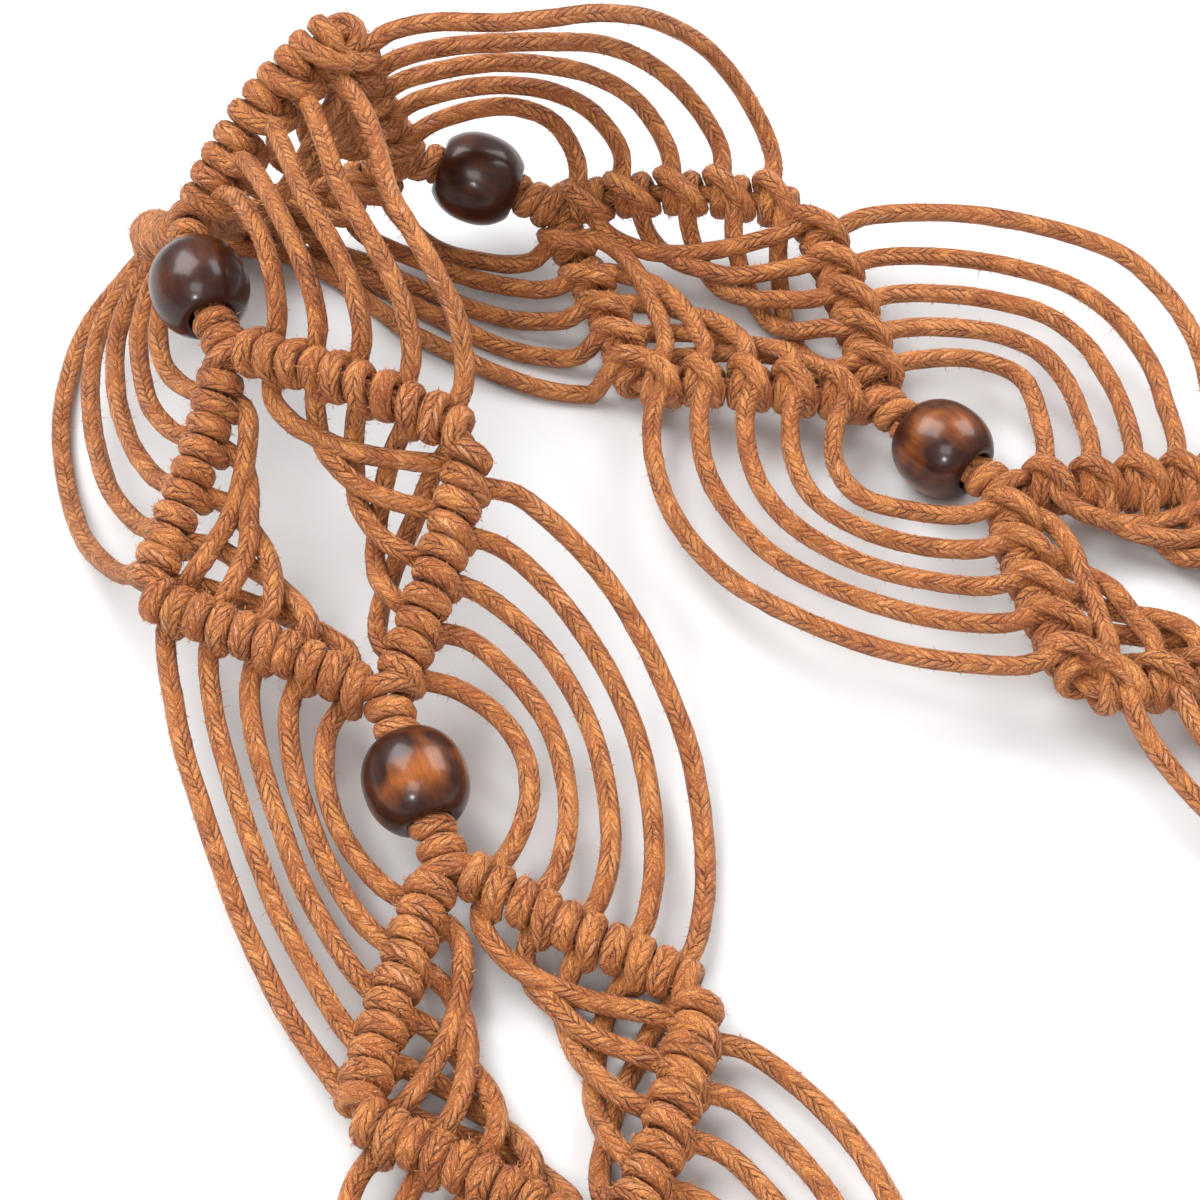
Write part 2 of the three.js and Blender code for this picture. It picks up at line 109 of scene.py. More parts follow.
aim = middle_of(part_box("bead_05")) + AIM_FROM_BEAD
camera_back = CAMERA_DISTANCE * math.cos(CAMERA_ELEVATION)
camera_up = CAMERA_DISTANCE * math.sin(CAMERA_ELEVATION)
bpy.ops.object.camera_add(
    location=(aim[0], aim[1] - camera_back, aim[2] + camera_up), rotation=(math.pi / 2 - CAMERA_ELEVATION, 0, 0))
camera = bpy.context.object
camera.name = "photo_camera"
camera.data.sensor_width = 36
camera.data.lens = CAMERA_LENS
camera.data.clip_start = 0.01
bpy.context.scene.camera = camera
print("camera at", tuple(round(v, 4) for v in camera.location))

# %% [markdown]
# ## Table and light
# The belt lies on a plain white table in a bright studio. Large soft lights give the
# beads their window-like reflections, and a small one low in front gives the sharp spark
# on each bead. All of them are turned towards the place that the camera is aimed at, and
# the table below sets how far from it they stand, how high, how large and how strong.
# Every finish in this lesson is a tree of nodes, so a helper that adds nodes and lets
# values be worked out with plain signs comes first.

# %% Values worked out by nodes
class Value:
    """A number that a node gives. A sign between two values adds a Math node."""

    def __init__(self, finish, socket):
        self.finish, self.socket = finish, socket

    def maths(self, operation, *others):
        made = self.finish.node("ShaderNodeMath", {"operation": operation})
        for socket, value in zip(made.inputs, (self, *others)):
            self.finish.feed(socket, value)
        return Value(self.finish, made.outputs[0])

    def __add__(self, other):
        return self.maths("ADD", other)

    def __mul__(self, other):
        return self.maths("MULTIPLY", other)

    def ramp(self, low, high, to_low=0.0, to_high=1.0):
        """Slides from to_low to to_high while the value goes from low to high."""
        ends = {"From Min": low, "From Max": high, "To Min": to_low, "To Max": to_high}
        made = self.finish.node("ShaderNodeMapRange", {"clamp": True}, Value=self, **ends)
        return Value(self.finish, made.outputs["Result"])


# %% Finishes made of nodes
class Finish:
    """A material whose nodes are added one after another."""

    def __init__(self, name):
        self.material = bpy.data.materials.new(name)
        self.material.use_nodes = True
        self.tree = self.material.node_tree
        self.shader = self.tree.nodes["Principled BSDF"]

    def node(self, kind, settings=None, **inputs):
        made = self.tree.nodes.new(kind)
        for key, value in (settings or {}).items():
            setattr(made, key, value)
        for name, value in inputs.items():
            self.feed(made.inputs[name], value)
        return made

    def feed(self, socket, value):
        """Links a value or another node's socket, or sets a plain number or colour."""
        value = value.socket if isinstance(value, Value) else value
        if isinstance(value, bpy.types.NodeSocket):
            self.tree.links.new(value, socket)
        else:
            socket.default_value = value

    def noise(self, vector, scale, detail=2.0, roughness=0.5):
        made = self.node("ShaderNodeTexNoise", Vector=vector, Scale=scale, Detail=detail, Roughness=roughness)
        return Value(self, made.outputs["Fac"])

    def blend(self, share, first, second):
        """A mix of two colours."""
        made = self.node("ShaderNodeMix", {"data_type": "RGBA"}, Factor=share)
        colours = [s for s in made.inputs if s.type == "RGBA"]
        self.feed(colours[0], first)
        self.feed(colours[1], second)
        return [s for s in made.outputs if s.type == "RGBA"][0]

    def surface(self, colour, roughness, **fixed):
        """Feeds the shader's colour and roughness, and sets what is the same all over."""
        self.feed(self.shader.inputs["Base Color"], colour)
        self.feed(self.shader.inputs["Roughness"], roughness)
        for name, value in fixed.items():
            self.shader.inputs[name.replace("_", " ")].default_value = value

    def bumped(self, relief, strength, distance):
        bump = self.node("ShaderNodeBump", Height=relief, Strength=strength, Distance=distance)
        self.feed(self.shader.inputs["Normal"], bump.outputs[0])


# %% Table
bpy.ops.mesh.primitive_plane_add(size=6, location=(0, 0, 0))
table = bpy.context.object
table.name = "table_top"
table_paint = Finish("table_paint")
table_paint.surface((0.68, 0.685, 0.69, 1), 0.6, Specular_IOR_Level=0.2)
table.data.materials.append(table_paint.material)
print("table:", table.name)

# %% Lights
LIGHTS = {
    "key_window": ((-0.45, 0.3, 0.85), (0.7, 0.7), 11.2),
    "side_window": ((0.62, 0.4, 0.72), (0.6, 0.6), 6.8),
    "front_window": ((-0.1, -0.7, 0.9), (0.5, 0.4), 3.6),
    "front_spark": ((-0.12, -0.75, 0.42), (0.09, 0.09), 1.8),
}

for name, (place, size, power) in LIGHTS.items():
    spot = (aim[0] + place[0], aim[1] + place[1], place[2])
    bpy.ops.object.light_add(type="AREA", location=spot)
    lamp = bpy.context.object
    lamp.name = name
    lamp.data.shape = "RECTANGLE"
    lamp.data.size, lamp.data.size_y = size
    lamp.data.energy = power
    lamp.rotation_euler = Vector(spot - aim).to_track_quat("Z", "Y").to_euler()

studio = bpy.data.worlds.new("studio")
bpy.context.scene.world = studio
studio.use_nodes = True
studio.node_tree.nodes["Background"].inputs["Color"].default_value = (1, 1, 1, 1)
studio.node_tree.nodes["Background"].inputs["Strength"].default_value = 0.46
bpy.context.scene.view_settings.view_transform = "Standard"
print("lights:", list(LIGHTS))

# %% [markdown]
# ## How the belt lies
# The belt comes in from the right, lies on the table with its back face up, climbs on
# edge, folds over itself and runs towards us with its front face up. One row for each
# bead and each diamond gives its heading in plan, its climb, its roll about its own
# length and how far it is cupped. Between the rows the values are blended smoothly. A
# curve bent by hand would do too, but in a table one bead's lay can be changed alone.

# %% Course of the belt
HEADING, CLIMB, ROLL, CUP = range(4)
COURSE = np.array([
    (168, 0, 180, 0), (167, 0, 180, 0), (165, 0, 180, 0), (162, 0, 180, 0),
    (158, 0, 180, 0), (154, 0, 180, 0), (150, 0, 180, 0), (147, 0, 186, 0),
    (134, 0, 182, 0), (141, 2, 173, 0), (169, 17, 111, -60), (225, 20, 63, 30),
    (289, -4, 54, 60), (296, -17, 15, 0), (290, -14, 0, 0), (294, -1, -3, 0),
    (277, 0, 0, 0), (272, 0, 0, 0), (270, 0, 0, 0), (268, 0, 0, 0),
    (266, 0, 0, 0), (265, 0, 0, 0), (264, 0, 0, 0),
], dtype=float)
OPENINGS = np.radians([41, 40, 42, 44, 34, 50, 41, 39, 41, 40, 42])
DIAMONDS = len(OPENINGS)
BEADS = DIAMONDS + 1
ROUTE_STEPS = 24
ALONG = BAR_LENGTH * np.cos(OPENINGS)
ACROSS = BAR_LENGTH * np.sin(OPENINGS)


def eased(f, start, leaving, end, arriving):
    """A smooth blend from start to end, with the slopes that it leaves and arrives with."""
    return ((2 * f**3 - 3 * f**2 + 1) * start + (f**3 - 2 * f**2 + f) * leaving
            + (-2 * f**3 + 3 * f**2) * end + (f**3 - f**2) * arriving)


def course_value(column, place):
    """One column of the course at places between its rows."""
    last = len(COURSE) - 1
    row = np.clip(np.floor(place), 0, last - 1).astype(int)
    before, start, end, after = (COURSE[np.clip(row + i, 0, last), column] for i in (-1, 0, 1, 2))
    return eased(place - row, start, (end - before) / 2, end, (after - start) / 2)


def direction(place):
    """Unit vectors along the belt."""
    heading = np.radians(course_value(HEADING, place))
    climb = np.radians(course_value(CLIMB, place))
    return np.stack([np.cos(climb) * np.cos(heading), np.cos(climb) * np.sin(heading), np.sin(climb)], -1)


# %% Middle line
def lay_middle_line():
    """Points of the belt's middle line from its back bead, with the distance to each."""
    station = np.repeat(np.arange(2 * DIAMONDS), ROUTE_STEPS)
    step = np.tile(np.arange(ROUTE_STEPS), 2 * DIAMONDS)
    length = (ALONG[station // 2] + TIP) / ROUTE_STEPS
    moves = direction(station + (step + 0.5) / ROUTE_STEPS) * length[:, None]
    rise = moves[moves[:, 2] > 0, 2].sum()
    fall = -moves[moves[:, 2] < 0, 2].sum()
    moves[moves[:, 2] < 0, 2] *= rise / fall
    lowest = BEAD_DIAMETER / 2
    points = np.vstack([[0, 0, lowest], [0, 0, lowest] + np.cumsum(moves, axis=0)])
    points[:, 2] = np.maximum(points[:, 2], lowest)
    distances = np.concatenate([[0], np.cumsum(np.linalg.norm(moves, axis=1))])
    return points, distances


LINE, DISTANCES = lay_middle_line()
SHIFT = middle_of(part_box("bead_01")) / METRES - LINE[0]
drift = middle_of(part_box("bead_12")) / METRES - SHIFT - LINE[-1]
print("belt is", round(DISTANCES[-1], 1), "mm from first to last bead; drift from the model", drift.round(3), "mm")


# %% Places on the belt
def bead_distance(bead):
    return DISTANCES[2 * bead * ROUTE_STEPS]


def belt_frame(distance):
    """Middle, along, across and out of the belt at each distance from the back bead."""
    distance = np.asarray(distance, dtype=float)
    index = np.clip(np.searchsorted(DISTANCES, distance, side="right") - 1, 0, len(DISTANCES) - 2)
    f = (distance - DISTANCES[index]) / (DISTANCES[index + 1] - DISTANCES[index])
    middle = LINE[index] + (LINE[index + 1] - LINE[index]) * f[..., None]
    place = np.clip((index + f) / ROUTE_STEPS, 0, 2 * DIAMONDS)
    along = direction(place)
    heading = np.radians(course_value(HEADING, place))
    roll = np.radians(course_value(ROLL, place))[..., None]
    level = np.stack([-np.sin(heading), np.cos(heading), np.zeros_like(heading)], -1)
    across = level * np.cos(roll) + np.cross(along, level) * np.sin(roll)
    return middle, along, across, np.cross(along, across), np.radians(course_value(CUP, place))


def on_belt(spots):
    """Places in the row's frame, in millimetres, of spots on the belt. A spot is a
    distance along the belt, a distance across it and a height over its front face."""
    spots = np.asarray(spots, dtype=float)
    middle, _, across, out, cup = belt_frame(spots[:, 0])
    lateral, height = spots[:, 1], spots[:, 2]
    bend = np.where(np.abs(cup) < 1e-6, 1e-6, cup) / CUP_WIDTH
    turn = bend * lateral
    middle = middle + across * (np.sin(turn) / bend)[:, None] + out * ((1 - np.cos(turn)) / bend)[:, None]
    middle[:, 2] = np.maximum(middle[:, 2], LOWEST_NET)
    normal = out * np.cos(turn)[:, None] - across * np.sin(turn)[:, None]
    return middle + normal * height[:, None] + SHIFT


# %% [markdown]
# ## A hitch
# Every bar is a cord with five tight knots on it. The knot is a clove hitch: the working
# cord comes in behind the bar, goes round it once, crosses over itself behind, goes round
# once more and leaves behind the bar on the other side. Seen from the front it is two
# turns side by side, and seen from behind it is one slanting bump over two ends. The knot
# is drawn once, as points along the bar, beside it and over it, and its second half is
# its first half turned about. A rope simulation would be slower and never as tight.

# %% The hitch
HITCH_HALF = np.array([
    (-0.55, 3.10, -1.85), (-0.62, 1.70, -1.80), (-0.80, 0.20, -1.66), (-0.94, -1.12, -1.22),
    (-1.00, -1.00, 0.00), (-1.08, -0.71, 0.71), (-1.22, 0.00, 1.00), (-1.42, 0.71, 0.71),
    (-1.60, 1.00, 0.00), (-1.75, 1.90, -1.20), (-1.30, 1.50, -2.50), (-0.65, 0.75, -3.20),
])
HITCH_HALF[4:9, 1:] *= WRAP_REACH
HITCH = np.vstack([HITCH_HALF, [(0, 0, -BACK_REACH)], HITCH_HALF[::-1] * (-1, -1, 1)])
ENTRY_REACH = HITCH_HALF[0, 1]
HITCH_TIGHTNESS = np.array([0, 0.3, 0.7, 1, 1, 1, 1, 1, 1, 0.8, 0.5, 0.4])
HITCH_TIGHTNESS = np.concatenate([HITCH_TIGHTNESS, [0.4], HITCH_TIGHTNESS[::-1]])
print("points in a hitch:", len(HITCH))


# %% Where a hitch sits
def unit(vectors):
    """The same directions, each one long."""
    return vectors / np.linalg.norm(vectors, axis=-1, keepdims=True)


def bar_point(diamond, run):
    """Distance and lateral place on a bar's middle, for runs from 0 at the first tip
    through 1 at the corner to 2 at the second tip."""
    start = bead_distance(diamond) + TIP
    round_off = np.sqrt((1 - run) ** 2 + CORNER_ROUNDING**2)
    full = math.sqrt(1 + CORNER_ROUNDING**2)
    return np.array([start + ALONG[diamond] * run, ACROSS[diamond] * (full - round_off)])


def hitch_axes(diamond, number, closing):
    """Middle of a hitch, the way its bar runs, and the side that its cord comes from.
    Number 0 is nearest the tip of its bar."""
    spacing = (BAR_LENGTH - FIRST_HITCH - LAST_HITCH) / HITCHES
    share = (FIRST_HITCH + (number + 0.5) * spacing) / BAR_LENGTH
    run = 2 - share if closing else share
    middle = bar_point(diamond, run)
    along = unit(bar_point(diamond, run + 0.02) - bar_point(diamond, run - 0.02))
    return middle, along, np.array([-along[1], along[0]]) * (-1 if closing else 1)


# %% [markdown]
# ## Loops
# Beside each bead five cords swing from one diamond to the next. They leave square to
# one bar and reach the next bar square to it, so a cubic curve with a handle at each end
# draws them. For some beads and sides (1 is right, -1 left) it is set how long the first
# and the last handle are, how far the loops hang and how hard they are pulled.

# %% Loops beside the beads
PLAIN_LOOP = (0.30, 0.30, 0.0, 0.0)
LOOPS = {
    (3, 1): (0.32, 0.32, 0.0, 0.0), (3, -1): (0.34, 0.34, 0.0, 0.0),
    (4, 1): (0.56, 0.42, -0.09, 0.0), (4, -1): (0.40, 0.42, 0.0, 0.0),
    (5, 1): (0.30, 0.42, 0.0, 0.0), (5, -1): (0.22, 0.26, 0.28, 0.0),
    (6, 1): (0.06, 0.42, 0.0, 1.0), (6, -1): (0.16, 0.18, 0.16, 0.0),
    (7, 1): (0.34, 0.32, 0.0, 0.0), (7, -1): (0.14, 0.10, 0.0, 0.0),
    (8, 1): (0.34, 0.32, 0.0, 0.0), (8, -1): (0.28, 0.28, 0.0, 0.0),
}
SLACK = 1.3
LOOP_SPACING = 5.5
LOOP_CLEARANCE = 1.6


def cubic(p0, p1, p2, p3, steps):
    """A cubic curve from p0 to p3 with its handles at p1 and p2."""
    t = np.linspace(0, 1, steps)[:, None]
    return (1 - t) ** 3 * p0 + 3 * (1 - t) ** 2 * t * p1 + 3 * (1 - t) * t**2 * p2 + t**3 * p3


def travelled(curve):
    """Distance along a curve to each of its points."""
    return np.concatenate([[0], np.cumsum(np.linalg.norm(np.diff(curve, axis=0), axis=1))])


def places_along(curve, wanted):
    """Places on a flat curve at the wanted distances along it."""
    distances = travelled(curve)
    return np.stack([np.interp(wanted, distances, curve[:, i]) for i in (0, 1)], -1)


# %% Way of a loop
def loop_spots(bead, side, number):
    """Spots of a loop from the diamond before a bead to the one after it, with how far
    each hangs below its place on the belt."""
    leave, reach, hang, _ = LOOPS.get((bead, side), PLAIN_LOOP)
    start, _, inward = hitch_axes(bead - 1, number, True)
    end, _, outward = hitch_axes(bead, number, False)
    span = np.linalg.norm(end - start)
    share = (number + 0.5) / HITCHES
    room = LOOP_ROOM * (1 - share) ** 2
    curve = cubic(start, start - inward * (leave * span + room), end + outward * (reach * span + room), end, 60)
    total = travelled(curve)[-1]
    margin = ENTRY_REACH + LOOP_CLEARANCE
    wanted = np.linspace(margin, total - margin, max(4, int(total / LOOP_SPACING)))
    flat = places_along(curve, wanted)
    along = wanted / total
    swing = 4 * along * (1 - along)
    height = HITCH_HALF[0, 2] * (1 - 0.35 * swing)
    spots = np.column_stack([flat[:, 0], side * flat[:, 1], height])
    return spots, swing * (hang * span * share**2 + SLACK * share * (hang >= 0))


# %% [markdown]
# ## Crossing cords inside a diamond
# Inside each corner the five cords cross. The one that starts nearest the first tip ends
# nearest the corner, and it lies over all the others. Each cord is therefore low where
# it passes under those before it and high where it passes over those after it.

# %% Crossing cords
CROSSING_LOW = -2.5
CROSSING_HIGH = -0.35
CROSSING_BLEND = 0.16
CROSSING_LEAVES = 0.20
CROSSING_REACHES = (0.50, 0.48, 0.44, 0.36, 0.28)
CROSSING_SAG = {(5, 1): (7.0, 0.72), (4, 1): (3.2, 0.9), (3, 1): (3.2, 0.9)}
PLAIN_SAG = (1.6, 0.9)
CROSSING_POINTS = 6


def crossing_spots(diamond, side, number):
    """Spots of the cord inside a diamond that leaves the hitch with this number."""
    start, _, outward = hitch_axes(diamond, number, False)
    end, _, inward = hitch_axes(diamond, HITCHES - 1 - number, True)
    span = np.linalg.norm(end - start)
    leaves = CROSSING_LEAVES * span + 1.5
    reaches = CROSSING_REACHES[number] * span + 1.5
    curve = cubic(start, start - outward * leaves, end + inward * reaches, end, 40)
    total = travelled(curve)[-1]
    wanted = np.linspace(ENTRY_REACH + 1.0, total - ENTRY_REACH - 1.0, CROSSING_POINTS)
    flat = places_along(curve, wanted)
    turnover = (number + 0.5) / HITCHES
    blend = np.clip((wanted / total - turnover + CROSSING_BLEND) / (2 * CROSSING_BLEND), 0, 1)
    blend = blend * blend * (3 - 2 * blend)
    height = CROSSING_LOW + (CROSSING_HIGH - CROSSING_LOW) * blend
    return np.column_stack([flat[:, 0], side * flat[:, 1], height])


# %% [markdown]
# ## Collecting a cord's way
# A cord's whole way is a list of points with a note beside each: how hard the cord is
# squeezed there and which way the squeeze is. Small seeded differences keep the knots
# and loops from looking stamped out.

# %% The way of a cord
rng = np.random.default_rng(12)
PULLED_BOW = np.array([4.5, 0.0, 1.5])


class Way:
    """Points that one cord goes through, from end to end."""

    def __init__(self):
        self.points, self.squeeze, self.tight = [], [], []

    def add(self, points, squeeze=None, tight=None):
        points = np.atleast_2d(points)
        self.points.append(points)
        self.squeeze.append(np.tile([0.0, 0.0, 1.0], (len(points), 1)) if squeeze is None else squeeze)
        self.tight.append(np.zeros(len(points)) if tight is None else tight)

    def arrays(self):
        return np.vstack(self.points), np.vstack(self.squeeze), np.concatenate(self.tight)


# %% Hitches and free stretches
def squeezed(spots, outer):
    """Places of spots on the belt, and the way from each to its spot further out."""
    points = on_belt(spots)
    return points, unit(on_belt(outer) - points)


def add_hitch(way, diamond, side, number, closing, leave=1, enter=1):
    """Ties the cord once round a bar. A point or more at each end of the hitch is left
    out, so that the cord bends freely as soon as it is out from behind the bar."""
    middle, along, comes_from = hitch_axes(diamond, number, closing)
    middle = middle + along * rng.normal(0, 0.09)
    lean = rng.normal(0, 0.05)
    size = 1 + rng.normal(0, 0.02)

    def spots(scale):
        x = HITCH[:, 0] + lean * HITCH[:, 1]
        flat = middle + np.outer(x, along) + np.outer(HITCH[:, 1] * scale * size, comes_from)
        return np.column_stack([flat[:, 0], side * flat[:, 1], HITCH[:, 2] * scale * size])

    points, squeeze = squeezed(spots(1.0), spots(1.1))
    kept = slice(enter, len(points) - leave)
    way.add(points[kept], squeeze[kept], HITCH_TIGHTNESS[kept])


def add_free(way, spots, hang=None, pull=0.0):
    """Lays the cord freely through spots on the belt, each hanging so far down. A pull
    draws its first part towards a shallow bow between its ends."""
    points = on_belt(spots)
    if pull:
        share = np.linspace(0.12, 1, len(points))[:, None]
        start = way.points[-1][-1]
        bow = start + (points[-1] - start) * share + np.sin(share * math.pi) * PULLED_BOW
        points = points + (bow - points) * pull * (1 - share) ** 0.5
    if hang is not None:
        points[:, 2] = np.maximum(points[:, 2] - hang, CORD_RADIUS * 1.05)
    wobble = rng.normal(0, 0.07, points.shape)
    way.add(points + wobble)


# %% [markdown]
# ## The ends
# The photograph doesn't show the belt's ends, so they are finished in the plainest way
# such belts have: all twelve cords are gathered past the last bead, bound with a few
# turns of cord and left loose. Each loose cord comes down from the binding and lies on
# the table beside its neighbour.

# %% Gathered and loose ends
LOCKS = HITCHES + 1
END_DISTANCES = {1: bead_distance(BEADS - 1), -1: 0.0}
COLLAR_HEIGHT = COLLAR_INNER_RADIUS + CORD_DIAMETER
LOCK_OF = {0: 4, 1: 5, 2: 5, 3: 4, 4: 3, "middle": 3}
LOCK_PART = {0: -1, 1: -1, 2: 1, 3: 1, 4: 1, "middle": -1}
LOOSE_PARTS = np.array([0.06, 0.16, 0.27, 0.42, 0.58, 0.76, 0.9, 1.0])


def end_axes(forward):
    """Bead's middle, the way out, the way to the right of it, and the collar's middle."""
    distance = np.array([END_DISTANCES[forward]])
    middle, along, across, _, _ = belt_frame(distance)
    ahead = unit(along[0] * (1, 1, 0)) * forward
    beside = np.array([-ahead[1], ahead[0], 0])
    beside *= np.sign(beside @ across[0])
    collar = middle[0] + ahead * GATHER_LENGTH
    collar[2] = COLLAR_HEIGHT
    return middle[0] + SHIFT, ahead, beside, collar + SHIFT


def ring_place(number):
    """Place of a cord in the bundle: beside and above its middle."""
    if number == "middle":
        return 1.0, 0.0
    turn = math.pi * ((number + 0.5) / HITCHES - 0.5)
    return BUNDLE_RING * math.cos(turn), BUNDLE_RING * math.sin(turn)


# %% Way of a loose end
def loose_end(forward, side, number):
    """Points from inside the collar to the cord's free end."""
    parts = LOOSE_PARTS
    _, ahead, beside, collar = end_axes(forward)
    right, up = ring_place(number)
    lock = LOCK_OF[number]
    outward = (lock - (LOCKS - 1) / 2) / ((LOCKS - 1) / 2)
    shorter = (lock * 2 if side > 0 else (5 - lock) * 2) % 5
    length = TAIL_LENGTH * (1 - 0.04 * shorter) - 2 - 3 * rng.random()
    spread = right * np.clip(1 - parts * 2.5, 0, 1) + outward * TAIL_SPREAD / 2 * parts**1.15
    beside_mate = LOCK_PART[number] * (1.15 + 1.4 * parts**2) * np.clip(parts * 4, 0, 1)
    wave = np.sin(parts * (5 + 2 * rng.random()) + rng.random() * 6) * 1.3 * parts
    on_table = CORD_RADIUS - COLLAR_HEIGHT
    lift = np.interp(parts, [0, 0.06, 0.16, 0.27, 1], [up, up - 0.4, (up - 3.5) * 0.7, on_table, on_table])
    half = WRAP_LENGTH / 2
    points = [collar + ahead * reach + beside * side * right + [0, 0, up] for reach in (-half, 0.0, half)]
    start = collar + ahead * half
    for part, out, mate, bend, drop in zip(parts, spread, beside_mate, wave, lift):
        point = start + ahead * length * part + beside * side * (out + mate) + beside * bend
        point[2] = max(start[2] + drop, CORD_RADIUS)
        points.append(point)
    return np.array(points)


# %% Way from the last hitch to the collar
def gathered(forward, side, number):
    """Points from a last hitch round the last bead to the collar."""
    bead, ahead, beside, collar = end_axes(forward)
    diamond = DIAMONDS - 1 if forward > 0 else 0
    hitch, _, comes_from = hitch_axes(diamond, number, forward > 0)
    leaves = -comes_from if forward > 0 else comes_from
    start = np.array([forward * (hitch[0] - END_DISTANCES[forward]), hitch[1]])
    heading = np.array([forward * leaves[0], leaves[1]])
    right, up = ring_place(number)
    share = (number + 0.5) / HITCHES
    end = np.array([GATHER_LENGTH - WRAP_LENGTH / 2, right])
    handle = 0.26 * np.linalg.norm(end - start) + LOOP_ROOM * (1 - share) ** 2
    end_handle = end + [-WRAP_LENGTH, LOOP_ROOM * (1 - share) + 4 * share]
    curve = cubic(start, start + heading * handle, end_handle, end, 60)
    total = travelled(curve)[-1]
    wanted = np.linspace(ENTRY_REACH + 2.4, total - 3, 8)
    part = wanted / total
    flat = places_along(curve, wanted)
    base = forward * HITCH_HALF[0, 2] * (1 - part)
    rise = (collar[2] - bead[2] + up) * part**2
    points = bead + np.outer(flat[:, 0], ahead) + np.outer(side * flat[:, 1], beside)
    points[:, 2] += base + rise
    return points


# %% [markdown]
# ## The ten working cords
# Each one starts as a loose end, is gathered, and then goes through every diamond: hitch,
# crossing, hitch, loop. A cord that is tied nearest the tip of one diamond is tied
# nearest the corner of the next, because the crossing turns the order round.

# %% Ways of the working cords
def working_way(side, order):
    way = Way()
    number = order
    way.add(loose_end(-1, side, number)[::-1])
    way.add(gathered(-1, side, number)[::-1])
    for diamond in range(DIAMONDS):
        if diamond > 0:
            spots, hang = loop_spots(diamond, side, number)
            add_free(way, spots, hang, pull)
        add_hitch(way, diamond, side, number, False)
        deep, until = CROSSING_SAG.get((diamond, side), PLAIN_SAG)
        sag = deep * np.sin(np.linspace(0.1, until, CROSSING_POINTS) * math.pi)
        add_free(way, crossing_spots(diamond, side, number), sag)
        number = HITCHES - 1 - number
        pull = LOOPS.get((diamond + 1, side), PLAIN_LOOP)[3] * (number + 1) / HITCHES
        add_hitch(way, diamond, side, number, True, 4 if pull else 1, 3 if pull and number > 1 else 1)
    way.add(gathered(1, side, number))
    way.add(loose_end(1, side, number))
    return way


WORKING = {(side, order): working_way(side, order) for side in (1, -1) for order in range(HITCHES)}
print("working cords:", len(WORKING))

# %% [markdown]
# ## The two middle cords
# They lie side by side in a bead's bore. Between a bead and a diamond one of them makes
# two turns round the other, which is the little knotted neck at each end of a bead, and
# then each goes down its own side of the diamond as the core of the bars.

# %% Ways of the middle cords
NECK_REACH = 1.5
NECK_START = BEAD_LENGTH / 2 - 0.2
NECK_END = TIP + 2.0
NECK_TURNS = 2.5
NECK_SIDEWAYS = 0.45
BORE_PLACE = 0.95


def add_straight(way, bead, side, distances):
    """The cord's way straight along the belt at distances from a bead's middle."""
    way.add(on_belt([[bead_distance(bead) + distance, side * BORE_PLACE, 0] for distance in distances]))


# %% Necks beside a bead
def neck_turns(where, side, after):
    """Spots of the cord that winds round its mate, and the same a little further out."""
    sign = 1 if after else -1
    turns = np.linspace(0, 2 * math.pi * NECK_TURNS, int(8 * NECK_TURNS) + 1)
    distance = NECK_START + (NECK_END - NECK_START) * turns / turns[-1]
    widening = np.clip((distance - TIP + 1.2) / (NECK_END - TIP + 1.2), 0, 1)
    lateral = NECK_SIDEWAYS * widening + NECK_REACH * (1 + 0.75 * widening) * np.cos(turns)
    height = NECK_REACH * (1 + 0.2 * widening) * np.sin(turns)
    slant = 0.35 * np.cos(turns) if after else 0 * turns
    spots = np.column_stack([where + sign * (distance + slant), side * lateral, height])
    outer = spots + np.column_stack([np.zeros(len(turns)), side * np.cos(turns), np.sin(turns)]) * 0.2
    return (spots, outer) if after else (spots[::-1], outer[::-1])


def add_neck(way, bead, side, after, winds):
    """The cord's way from the middle of a bead to a diamond, or from one back to it."""
    sign = 1 if after else -1
    where = bead_distance(bead)
    if not winds:
        distance = np.array([0, BEAD_LENGTH / 2 - 0.5, NECK_START + 0.6, TIP - 0.8, NECK_END])
        stations = [0, BEAD_LENGTH / 2, NECK_START + 0.6, TIP - 0.6, NECK_END]
        lateral = np.interp(distance, stations, [BORE_PLACE, 0.9, 0.1, 0.25, 1.3])
        spots = np.column_stack([where + sign * distance, side * lateral, np.zeros(5)])
        way.add(on_belt(spots if after else spots[:0:-1]))
        return
    spots, outer = neck_turns(where, side, after)
    points, squeeze = squeezed(spots, outer)
    mouth = sign * (BEAD_LENGTH / 2 - 0.6)
    if after:
        add_straight(way, bead, side, [0, mouth])
    way.add(points, squeeze, np.ones(len(points)))
    if not after:
        add_straight(way, bead, side, [mouth])


# %% From one loose end to the other
def middle_way(side):
    way = Way()
    way.add(loose_end(-1, side, "middle")[::-1])
    beyond = BEAD_LENGTH / 2
    add_straight(way, 0, side, [-beyond - 9, -beyond - 2])
    for diamond in range(DIAMONDS):
        add_neck(way, diamond, side, True, side < 0)
        bar = np.array([bar_point(diamond, run) for run in np.linspace(0.11, 1.89, 33)])
        way.add(on_belt(np.column_stack([bar[:, 0], side * bar[:, 1], np.zeros(len(bar))])))
        add_neck(way, diamond + 1, side, False, side > 0)
    add_straight(way, BEADS - 1, side, [0, beyond + 2, beyond + 9])
    way.add(loose_end(1, side, "middle"))
    return way


MIDDLE = {side: middle_way(side) for side in (1, -1)}
print("middle cords:", len(MIDDLE))


